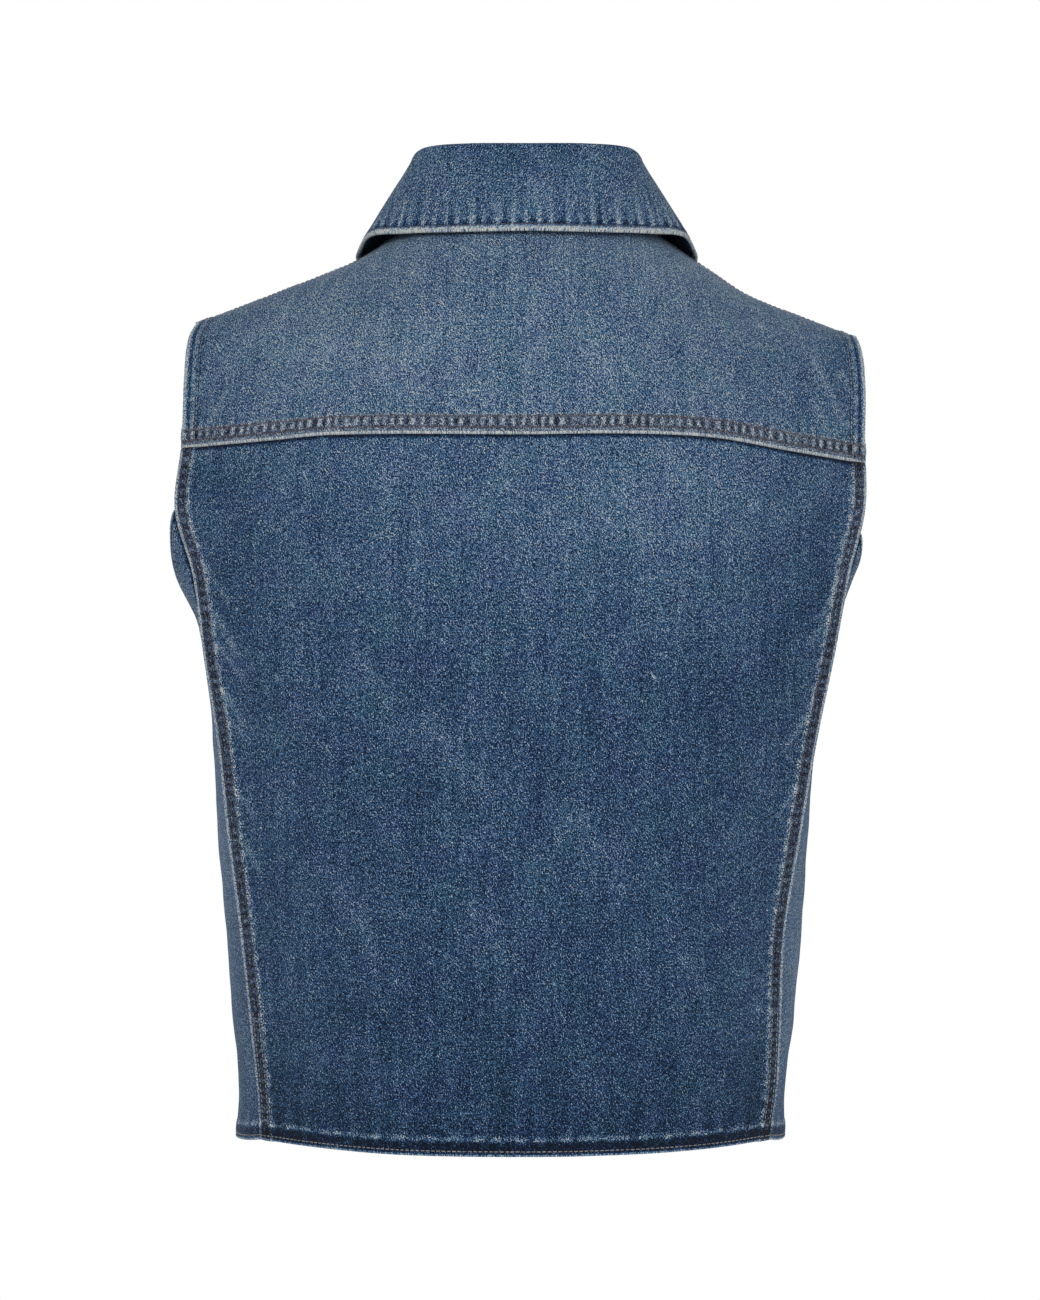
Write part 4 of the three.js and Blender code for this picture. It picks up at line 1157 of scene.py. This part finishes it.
def make_back_yoke():
    """The yoke: over the back panel, round both shoulders to the front seams."""
    sheet, s = yoke_sheet()
    tone_and_painted_light(sheet, "yoke")
    press_creases(sheet, "yoke")
    sew(sheet, "bottom", YOKE_FELL, 2)
    for seed, side in enumerate(("start", "end")):
        clear = smoothstep(sheet.distance["bottom"], *CLEAR_OF_SEAM)
        sew(sheet, side, ARMHOLE, seed + 5, mask=clear)
    shoulder_start = YOKE_NECK_SHARE + SHOULDER_SOFTNESS
    shoulder = smoothstep(np.abs(2 * s - 1), YOKE_NECK_SHARE, shoulder_start)[:, None]
    sew(sheet, "top", FELL, 7, mask=shoulder, worn=SHOULDER_WEAR)
    tan = [sewing_line(sheet, "bottom", row) for row in YOKE_FELL["rows"]]
    on_shoulder = shoulder[:, 0] > 0.5
    for sign in (-1, 1):
        keep = on_shoulder & (np.sign(s - 0.5) == sign)
        for row in FELL["rows"]:
            tan.append(sewing_line(sheet, "top", row, keep=keep))
    sleeve = [sewing_line(sheet, side, ARMHOLE["rows"][0]) for side in ("start", "end")]
    seams = add_stitching("back_yoke_seam_stitching", tan, tan_thread())
    armholes = add_stitching("back_yoke_armhole_stitching", sleeve, pale_thread())
    add_cloth("back_yoke", sheet)


def side_surface(side, u, z):
    """A side panel's points, u from the back seam to the front seam."""
    back_x, front_x = back_edge(side, z), front_edge(side, z)
    back = body(back_x, turn_at("back", back_x, z))
    front = body(front_x, turn_at("front", front_x, z))
    bulge = side * side_level(z, "left" if side > 0 else "right") - (back_x + front_x) / 2
    belly = np.maximum(0, 4 * u * (1 - u)) ** side_level(z, "power")
    points = lerp(back, front, u[..., None])
    points[..., 0] += belly * bulge
    points[..., 2] = z
    return points


def side_panel_sheet(side):
    share = np.linspace(0, 1, SIDE_LINES_ACROSS)
    u = ((1 - np.cos(math.pi * share)) / 2)[:, None]
    t = fine_lines(*GRIDS["side_up"])[None, :]
    seam_top = SEAM_TOP["back_left" if side > 0 else "back_right"]
    dip = (seam_top + SEAM_TOP["front"]) / 2 - ARMHOLE_BOTTOM_Z
    top = lerp(seam_top, SEAM_TOP["front"], u) - dip * np.sin(math.pi * u)
    hem = hem_height(2 * u - 1)
    z = lerp(hem, top, t)
    points = side_surface(side, np.broadcast_to(u, z.shape), z)
    flaps = []
    for face, edge, k in (("back", back_edge, 0), ("front", front_edge, -1)):
        x = edge(side, z[k]) - side * TUCK["reach"]
        turn = turn_at(face, x, z[k])
        flaps.append(body(x, turn) - TUCK["dip"] * body_normal(x, turn))
    points = np.concatenate([flaps[0][None], points, flaps[1][None]])
    return Sheet(points, tucked={"start": TUCK["reach"], "end": TUCK["reach"]})


def make_side_panel(name, side):
    """A side panel under the back's and the front's edges, open round the armhole."""
    sheet = side_panel_sheet(side)
    tone_and_painted_light(sheet, "side")
    press_creases(sheet, "side")
    sew(sheet, "bottom", HEM, 11 + side)
    sew(sheet, "top", ARMHOLE, 14 + side)
    tuck_under(sheet, "start")
    tuck_under(sheet, "end")
    lines = [
        sewing_line(sheet, "bottom", HEM["rows"][0]),
        sewing_line(sheet, "top", ARMHOLE["rows"][0]),
    ]
    stitches = add_stitching(name + "_stitching", lines, pale_thread())
    add_cloth(name, sheet)


def front_sheet(side, end_x):
    s = fine_lines(*GRIDS["front_across"], through=(FRONT_SHOULDER_SHARE,))
    s = np.unique(np.concatenate([s, 1 - np.array(PLACKET_LINES) / GRIDS["front_across"][0]]))
    tip_x, tip_turn = edge_at_turn("front", side, np.array(-SHOULDER_SEAM_TURN))
    corner_x, corner_turn = neck_point(np.array(side * math.pi / 2))
    neck_end = math.pi - math.asin(side * (end_x - NECK_X) / NECK["half_width"])
    outer = np.clip(s / FRONT_SHOULDER_SHARE, 0, 1)
    inner = np.clip((s - FRONT_SHOULDER_SHARE) / (1 - FRONT_SHOULDER_SHARE), 0, 1)
    neck_x, neck_turn = neck_point(side * lerp(math.pi / 2, neck_end, inner))
    on_neck = s >= FRONT_SHOULDER_SHARE
    top = (
        np.where(on_neck, neck_x, lerp(tip_x, corner_x, outer)),
        np.where(on_neck, neck_turn, lerp(tip_turn, corner_turn, outer)),
    )

    def hem_z(x):
        return hem_height(x / front_edge(side, HEM_Z))

    bottom_x = lerp(front_edge(side, HEM_Z), end_x, s)
    bottom = (bottom_x, turn_at("front", bottom_x, hem_z(bottom_x)))
    end_hem = hem_z(end_x)
    end_neck_turn = neck_point(np.array(neck_end))[1]
    end_top = body(end_x, end_neck_turn)[..., 2]
    end_middle = lerp(end_hem, end_top, FRONT_SEAM_SHARE)
    low_share = fine_lines(*GRIDS["front_seam_up"])
    seam_z = lerp(HEM_Z + HEM_LIFT_AT_SEAM, SEAM_TOP["front"], low_share)
    seam_x = front_edge(side, seam_z)
    low_starts = turn_at("front", seam_x, seam_z)
    low_ends = turn_at("front", end_x, lerp(end_hem, end_middle, low_share))
    high_share = fine_lines(*GRIDS["front_armhole_up"])[1:]
    high_turn = lerp(low_starts[-1], -SHOULDER_SEAM_TURN, high_share)
    high_x, _ = edge_at_turn("front", side, high_turn)
    starts = (np.concatenate([seam_x, high_x]), np.concatenate([low_starts, high_turn]))
    end_turn = np.concatenate([low_ends, lerp(low_ends[-1], end_neck_turn, high_share)])
    ends = (np.full(end_turn.shape, end_x), end_turn)
    t = (starts[1] - starts[1][0]) / (-SHOULDER_SEAM_TURN - starts[1][0])
    x, turn = coons(s, t, bottom, top, starts, ends)
    points = body(x, turn)
    if side > 0:
        push = UNDERLAP["depth"] * smoothstep(-x, -UNDERLAP["start"], -UNDERLAP["full"])
        points = points - body_normal(x, turn) * push[..., None]
    points = grown_top(points, TUCK["reach"])
    return Sheet(points, middle=len(s) - 1, tucked={"top": TUCK["reach"]}), s


def make_front(name, side, end_x):
    """A front: side seam and armhole, hem, turned front edge, and the yoke over its top."""
    sheet, s = front_sheet(side, end_x)
    tone_and_painted_light(sheet, "front")
    press_creases(sheet, "front")
    z = sheet.points[..., 2]
    seam_top = SEAM_TOP["front"]
    below = 1 - smoothstep(z, seam_top - SEAM_END["below"], seam_top + SEAM_END["above"])
    sew(sheet, "start", FELL, 20 + side, mask=below)
    sew(sheet, "start", ARMHOLE, 23 + side, mask=1 - below)
    sew(sheet, "bottom", HEM, 26 + side)
    sew(sheet, "end", PLACKET, 29 + side)
    shoulder_end = FRONT_SHOULDER_SHARE - SHOULDER_SOFTNESS
    on_shoulder = 1 - smoothstep(s, shoulder_end, FRONT_SHOULDER_SHARE)[:, None]
    tuck_under(sheet, "top", mask=on_shoulder)
    seam = z[0] < SEAM_TOP["front"]
    lines = [sewing_line(sheet, "start", row, keep=seam) for row in FELL["rows"]]
    lines.append(sewing_line(sheet, "start", ARMHOLE["rows"][0], keep=~seam))
    lines.append(sewing_line(sheet, "bottom", HEM["rows"][0]))
    below_collar = z[-1] < COLLAR_HIDES_ABOVE
    for row in PLACKET["rows"]:
        lines.append(sewing_line(sheet, "end", row, keep=below_collar))
    stitches = add_stitching(name + "_stitching", lines, pale_thread())
    add_cloth(name, sheet)


def quadratic(a, b, c, u):
    u = u[..., None]
    return a * (1 - u) ** 2 + b * 2 * u * (1 - u) + c * u * u


def settle(points, clearance):
    """Moves points out along the body's outward direction until they are clear of it."""
    turn = np.zeros(points.shape[:-1])
    x = points[..., 0]
    nearest = np.linalg.norm(body(x, turn) - points, axis=-1)
    for step in (0.1, 0.01, 0.001):
        start = turn.copy()
        for i in range(-24, 25):
            tried = start + i * step
            far = np.linalg.norm(body(x, tried) - points, axis=-1)
            turn = np.where(far < nearest, tried, turn)
            nearest = np.minimum(far, nearest)
    normal = body_normal(x, turn)
    height = ((points - body(x, turn)) * normal).sum(-1)
    missing = COLLAR_SOFTNESS * np.log1p(np.exp((clearance - height) / COLLAR_SOFTNESS))
    return points + normal * missing[..., None]


def collar_fold(angle):
    columns = [collar_column(angle, key) for key in ("fold_x", "fold_y", "fold_z")]
    return np.stack(columns, axis=-1) + np.array([NECK_X, 0, 0])


def collar_points(angle, v):
    """The collar's section at each angle: v runs up from the neck seam, over and down."""
    angle, v = np.broadcast_arrays(angle, v)
    up = np.array([0.0, 0.0, 1.0])
    neck_x, neck_turn = neck_point(np.radians(angle))
    fold = collar_fold(angle)
    out = unit(np.cross(up, collar_fold(angle + 1) - collar_fold(angle - 1)))
    centre = fold - up * COLLAR_ROLL
    normal = body_normal(neck_x, neck_turn)
    lift = COLLAR_SEAT + COLLAR_CLOTH / 2 * np.abs((out * normal).sum(-1))
    seam = body(neck_x, neck_turn) + normal * lift[..., None]
    stand_top = centre - out * COLLAR_ROLL
    tall = np.linalg.norm(stand_top - seam, axis=-1)[..., None]
    stand = quadratic(seam, stand_top - up * 0.4 * tall, stand_top, np.clip(v / STAND_END, 0, 1))
    turn = (math.pi * np.clip((v - STAND_END) / (LEAF_START - STAND_END), 0, 1))[..., None]
    roll = centre - out * COLLAR_ROLL * np.cos(turn) + up * COLLAR_ROLL * np.sin(turn)
    leaf_top = centre + out * COLLAR_ROLL
    edge_keys = ("edge_x", "edge_y", "edge_z")
    edge = np.stack([collar_column(angle, key) for key in edge_keys], axis=-1)
    edge = edge + np.array([NECK_X, 0, 0])
    knee = lerp(leaf_top, edge, 0.3) + out * 0.002
    down = np.clip((v - LEAF_START) / (1 - LEAF_START), 0, 1)
    leaf = settle(quadratic(leaf_top, knee, edge, down), COLLAR_CLEARANCE)
    on_stand = (v < STAND_END)[..., None]
    on_roll = (v < LEAF_START)[..., None]
    return np.where(on_stand, stand, np.where(on_roll, roll, leaf))


def make_collar():
    """The collar: a stand round the neck that rolls over into a leaf with a worn edge."""
    end_angle = COLLAR[-1][0]
    share = np.linspace(-1, 1, COLLAR_LINES_ACROSS)
    angle = end_angle * share
    v = np.unique(np.concatenate([np.linspace(*span) for span in COLLAR_LINES_UP]))
    sheet = Sheet(collar_points(angle[:, None], v[None, :]))
    leaf_normal = sheet.normals[len(angle) // 2, -10]
    if leaf_normal[1] < 0:
        sheet.turn_over()
    leaf = np.broadcast_to(v[None, :], sheet.points.shape[:2]) > LEAF_START
    sheet.tone = np.where(leaf, COLLAR_TONE, COLLAR_TONE - COLLAR_FADE["stand_darker"])
    low = smoothstep(v, COLLAR_FADE["start"], 1.0)[None, :]
    sheet.tone = sheet.tone + COLLAR_FADE["lighter"] * low
    add_patches(sheet, "collar")
    sheet.height += COLLAR_CLOTH / 2
    x, z = sheet.points[..., 0], sheet.points[..., 2]
    ripple = np.sin(x * 70 + 3 * np.sin(z * 60)) * np.sin(z * 85 + 2 * np.sin(x * 45))
    sheet.height += COLLAR_RIPPLE * ripple * low
    leaf_mask = np.where(leaf, 1.0, 0.0)
    for seed, side in ((31, "top"), (33, "start"), (35, "end")):
        sew(sheet, side, COLLAR_EDGE, seed, mask=leaf_mask)
    row = COLLAR_EDGE["rows"][0]
    lines = [sewing_line(sheet, "top", row)]
    for side in ("start", "end"):
        lines.append(sewing_line(sheet, side, row, keep=v > LEAF_START))
    stitches = add_stitching("collar_stitching", lines, tan_thread())
    add_cloth("collar", sheet, COLLAR_CLOTH / 2, wrong_side=False)


def select_faces(test):
    """Selects the faces of the mesh in edit mode whose middle and normal pass a test."""
    bpy.ops.mesh.select_all(action="DESELECT")
    bpy.ops.object.mode_set(mode="OBJECT")
    mesh = bpy.context.object.data
    for face in mesh.polygons:
        face.select = test(face.center, face.normal)
    bpy.ops.object.mode_set(mode="EDIT")
    bpy.ops.mesh.select_mode(type="FACE")


def add_button_mesh():
    """A plain dished cap with a rolled rim on a short shank, its foot at the origin."""
    radius, height = BUTTON["radius"], BUTTON["height"]
    bpy.ops.object.select_all(action="DESELECT")
    bpy.ops.mesh.primitive_cylinder_add(
        vertices=48, radius=radius, depth=height * CAP["depth"], location=(0, 0, height * CAP["middle"])
    )
    button = bpy.context.object
    bpy.ops.object.transform_apply(location=True, rotation=True, scale=True)
    bpy.ops.object.mode_set(mode="EDIT")
    select_faces(lambda middle, normal: normal.z > 0.9)
    for inward, rise in CAP_STEPS:
        bpy.ops.mesh.inset(thickness=radius * inward, depth=height * rise)
    select_faces(lambda middle, normal: normal.z < -0.9)
    bpy.ops.mesh.inset(thickness=radius * CAP["shank_inset"], depth=0)
    bpy.ops.mesh.extrude_region_move(
        TRANSFORM_OT_translate={"value": (0, 0, -height * CAP["shank"])}
    )
    bpy.ops.object.mode_set(mode="OBJECT")
    rim = button.modifiers.new("rim", "BEVEL")
    rim.width = height * CAP["bevel"]
    rim.segments = 3
    rim.limit_method = "ANGLE"
    rim.angle_limit = math.radians(40)
    bpy.ops.object.modifier_apply(modifier=rim.name)
    bpy.ops.object.shade_smooth_by_angle(angle=math.radians(35))
    return button


def placket_place(z):
    """Middle, outward, sideways and upward directions of the right front where a button sits."""
    x = float(sway(z))
    turn = float(turn_at("front", x, z))
    seat = Vector(body(x, turn))
    out = Vector(body_normal(x, turn))
    aside = Vector((1, 0, 0))
    aside = (aside - out * aside.dot(out)).normalized()
    return seat, out, aside, out.cross(aside)


def place_matrix(z, lift):
    seat, out, aside, upward = placket_place(z)
    turn = Matrix((aside, upward, out)).transposed().to_4x4()
    return Matrix.Translation(seat + out * lift) @ turn


def make_buttons():
    """The row of metal buttons on the right front."""
    material = metal_material("button_metal", tuple(settings_now().button_metal))
    pattern = add_button_mesh()
    for i in range(BUTTON["count"]):
        mesh = pattern.data.copy()
        mesh.transform(place_matrix(BUTTON["top"] - i * BUTTON["pitch"], BUTTON_SEAT))
        name = f"button_{i + 1}"
        button = new_piece(name + "_cap", mesh, [material])
        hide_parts(name)
    bpy.data.objects.remove(pattern)


def add_buttonhole_mesh():
    """A worked buttonhole: a ring of thread drawn out along X round a closed slit."""
    length = BUTTONHOLE["near"] - BUTTONHOLE["far"]
    bpy.ops.object.select_all(action="DESELECT")
    bpy.ops.mesh.primitive_torus_add(
        major_segments=56,
        minor_segments=8,
        major_radius=BUTTONHOLE["half_height"],
        minor_radius=BUTTONHOLE["radius"],
    )
    hole = bpy.context.object
    bpy.ops.object.mode_set(mode="EDIT")
    for sign in (1, -1):
        bpy.ops.mesh.select_all(action="DESELECT")
        bpy.ops.object.mode_set(mode="OBJECT")
        for vertex in hole.data.vertices:
            vertex.select = vertex.co.x * sign > 1e-6
        bpy.ops.object.mode_set(mode="EDIT")
        bpy.ops.mesh.select_mode(type="VERT")
        reach = length / 2 - BUTTONHOLE["half_height"]
        bpy.ops.transform.translate(value=(sign * reach, 0, 0))
    bpy.ops.mesh.select_all(action="SELECT")
    bpy.ops.mesh.subdivide(number_cuts=1)
    bpy.ops.object.mode_set(mode="OBJECT")
    bpy.ops.object.shade_smooth()
    return hole


def make_buttonholes():
    """Worked buttonholes under the buttons of the right front."""
    pattern = add_buttonhole_mesh()
    middle = (BUTTONHOLE["near"] + BUTTONHOLE["far"]) / 2
    flat = Matrix.Diagonal((1, 1, BUTTONHOLE["flatness"], 1))
    for i in range(BUTTON["count"]):
        mesh = pattern.data.copy()
        place = place_matrix(BUTTON["top"] - i * BUTTON["pitch"], PLACKET["rise"])
        mesh.transform(place @ Matrix.Translation((middle, 0, 0)) @ flat)
        hole = new_piece(f"buttonhole_{i + 1}", mesh, [pale_thread()])
    bpy.data.objects.remove(pattern)


def make_floor():
    """A pale floor far below, that shows only from above."""
    bpy.ops.mesh.primitive_circle_add(
        vertices=96, radius=STAGE["floor_radius"], fill_type="NGON", location=(0, 0, STAGE["floor_z"])
    )
    floor = bpy.context.object
    floor.name = "floor"
    material, tree, surface = new_material("pale_floor")
    place = node(tree, "ShaderNodeTexCoord").outputs["Object"]
    shades = ((0.0, (0.80, 0.80, 0.80)), (1.0, (0.84, 0.84, 0.84)))
    looks = {
        "Base Color": mottled(tree, solid_noise(tree, place, 3.0, 2.0), *shades),
        "Roughness": 0.9,
        "Specular IOR Level": 0.1,
        "Emission Color": (1, 1, 1, 1),
        "Emission Strength": 0.35,
    }
    connect(tree, surface, looks)
    floor.data.materials.append(material)


def make_world(settings):
    """A white surround for the camera, and a dimmer even light on the cloth."""
    world = bpy.data.worlds.new("studio")
    bpy.context.scene.world = world
    world.use_nodes = True
    tree = world.node_tree
    tree.nodes.clear()
    seen = node(tree, "ShaderNodeBackground", {"Color": (1, 1, 1, 1), "Strength": 1.0})
    ambient = {"Color": (0.96, 0.98, 1, 1), "Strength": settings.ambient_strength}
    lit = node(tree, "ShaderNodeBackground", ambient)
    path = node(tree, "ShaderNodeLightPath")
    mix = node(
        tree,
        "ShaderNodeMixShader",
        {0: path.outputs["Is Camera Ray"], 1: lit.outputs[0], 2: seen.outputs[0]},
    )
    output = node(tree, "ShaderNodeOutputWorld")
    tree.links.new(mix.outputs[0], output.inputs["Surface"])


def make_lights(settings):
    """Large soft lights: the main one high at the camera's left, a fill at its right, two in front."""
    rows = (
        ("key_light", (1.1, 2.4, 1.3), 1.6, settings.key_power),
        ("fill_light", (-1.8, 2.0, 0.3), 1.8, settings.fill_power),
        ("front_light", (-0.6, -2.6, 1.2), 1.8, settings.key_power * FRONT_LIGHT_SHARE),
        ("front_fill_light", (1.6, -2.0, 0.2), 1.8, settings.fill_power),
    )
    target = Vector((0, 0, STAGE["target_z"]))
    for name, place, size, power in rows:
        bpy.ops.object.light_add(type="AREA", location=place)
        light = bpy.context.object
        light.name = name
        light.data.shape = "DISK"
        light.data.size = size
        light.data.energy = power
        light.rotation_euler = (target - Vector(place)).to_track_quat("-Z", "Y").to_euler()


def make_camera():
    """The photograph's view: level, a long way off, at the height of the vest's middle."""
    place = (CAMERA["x"], CAMERA["distance"], CAMERA["z"])
    facing = (math.pi / 2, 0, math.pi)
    bpy.ops.object.camera_add(location=place, rotation=facing)
    camera = bpy.context.object
    camera.data.sensor_width = CAMERA["sensor"]
    camera.data.lens = CAMERA["sensor"] * CAMERA["distance"] / CAMERA["frame_height"]
    camera.data.clip_end = 50
    bpy.context.scene.camera = camera


class DenimVestSettings(bpy.types.PropertyGroup):
    """Colours and lights that a user may change."""

    tan_thread: bpy.props.FloatVectorProperty(
        name="Tan thread", description="Thread of the yoke, collar and back seam rows", subtype="COLOR",
        size=3, min=0, max=1, default=srgb(108, 90, 84),
    )
    pale_thread: bpy.props.FloatVectorProperty(
        name="Pale thread", description="Thread of the armholes, hem, fronts and low back seams",
        subtype="COLOR", size=3, min=0, max=1, default=srgb(156, 154, 152),
    )
    button_metal: bpy.props.FloatVectorProperty(
        name="Button metal", description="Colour of the metal buttons", subtype="COLOR",
        size=3, min=0, max=1, default=srgb(176, 158, 128),
    )
    ambient_strength: bpy.props.FloatProperty(
        name="Ambient light", description="Even light from all round", default=0.38, min=0,
    )
    key_power: bpy.props.FloatProperty(
        name="Key light", description="Power of the main light", default=32, min=0, unit="POWER",
    )
    fill_power: bpy.props.FloatProperty(
        name="Fill light", description="Power of the lights that fill the shade", default=16, min=0,
        unit="POWER",
    )


def make_stage():
    """Sets the floor, lights, surround and camera."""
    settings = settings_now()
    make_floor()
    make_world(settings)
    make_lights(settings)
    make_camera()
    bpy.context.scene.view_settings.view_transform = "Standard"


def make_side_panels():
    make_side_panel("side_panel_left", 1)
    make_side_panel("side_panel_right", -1)


def make_fronts():
    make_front("front_left", 1, -FRONT_OVERLAP)
    make_front("front_right", -1, FRONT_OVERLAP)


def make_fastenings():
    make_buttons()
    make_buttonholes()


def make_operator(key, label, about, build):
    """An operator that runs one of the build functions."""

    def execute(self, context):
        build()
        return {"FINISHED"}

    words = {"__doc__": about, "bl_idname": "vest." + key, "bl_label": label, "execute": execute}
    return type("VEST_OT_" + key, (bpy.types.Operator,), words)


OPERATORS = (
    make_operator("stage", "Stage", "Sets the floor, lights, surround and camera", make_stage),
    make_operator("back_yoke", "Back yoke", "Builds the yoke over the shoulders", make_back_yoke),
    make_operator("back_panel", "Back panel", "Builds the back panel", make_back_panel),
    make_operator("side_panels", "Side panels", "Builds both side panels", make_side_panels),
    make_operator("fronts", "Fronts", "Builds both fronts", make_fronts),
    make_operator("collar", "Collar", "Builds the turned-down collar", make_collar),
    make_operator(
        "buttons", "Buttons", "Builds the buttons and their worked buttonholes", make_fastenings
    ),
)


class VEST_PT_panel(bpy.types.Panel):
    """Lists the vest's pieces and settings"""

    bl_idname = "VEST_PT_panel"
    bl_label = "Denim Vest"
    bl_space_type = "VIEW_3D"
    bl_region_type = "UI"
    bl_category = "Denim Vest"

    def draw(self, context):
        settings = settings_now()
        for key in DenimVestSettings.__annotations__:
            self.layout.prop(settings, key)
        for operator in OPERATORS:
            self.layout.operator(operator.bl_idname)


CLASSES = (DenimVestSettings, *OPERATORS, VEST_PT_panel)


def register():
    for each in CLASSES:
        bpy.utils.register_class(each)
    bpy.types.Scene.denim_vest = bpy.props.PointerProperty(type=DenimVestSettings)


def unregister():
    del bpy.types.Scene.denim_vest
    for each in reversed(CLASSES):
        bpy.utils.unregister_class(each)


def main():
    register()
    bpy.ops.vest.stage()
    bpy.ops.vest.back_yoke()
    bpy.ops.vest.back_panel()
    bpy.ops.vest.side_panels()
    bpy.ops.vest.fronts()
    bpy.ops.vest.collar()
    bpy.ops.vest.buttons()


if __name__ == "__main__":
    main()
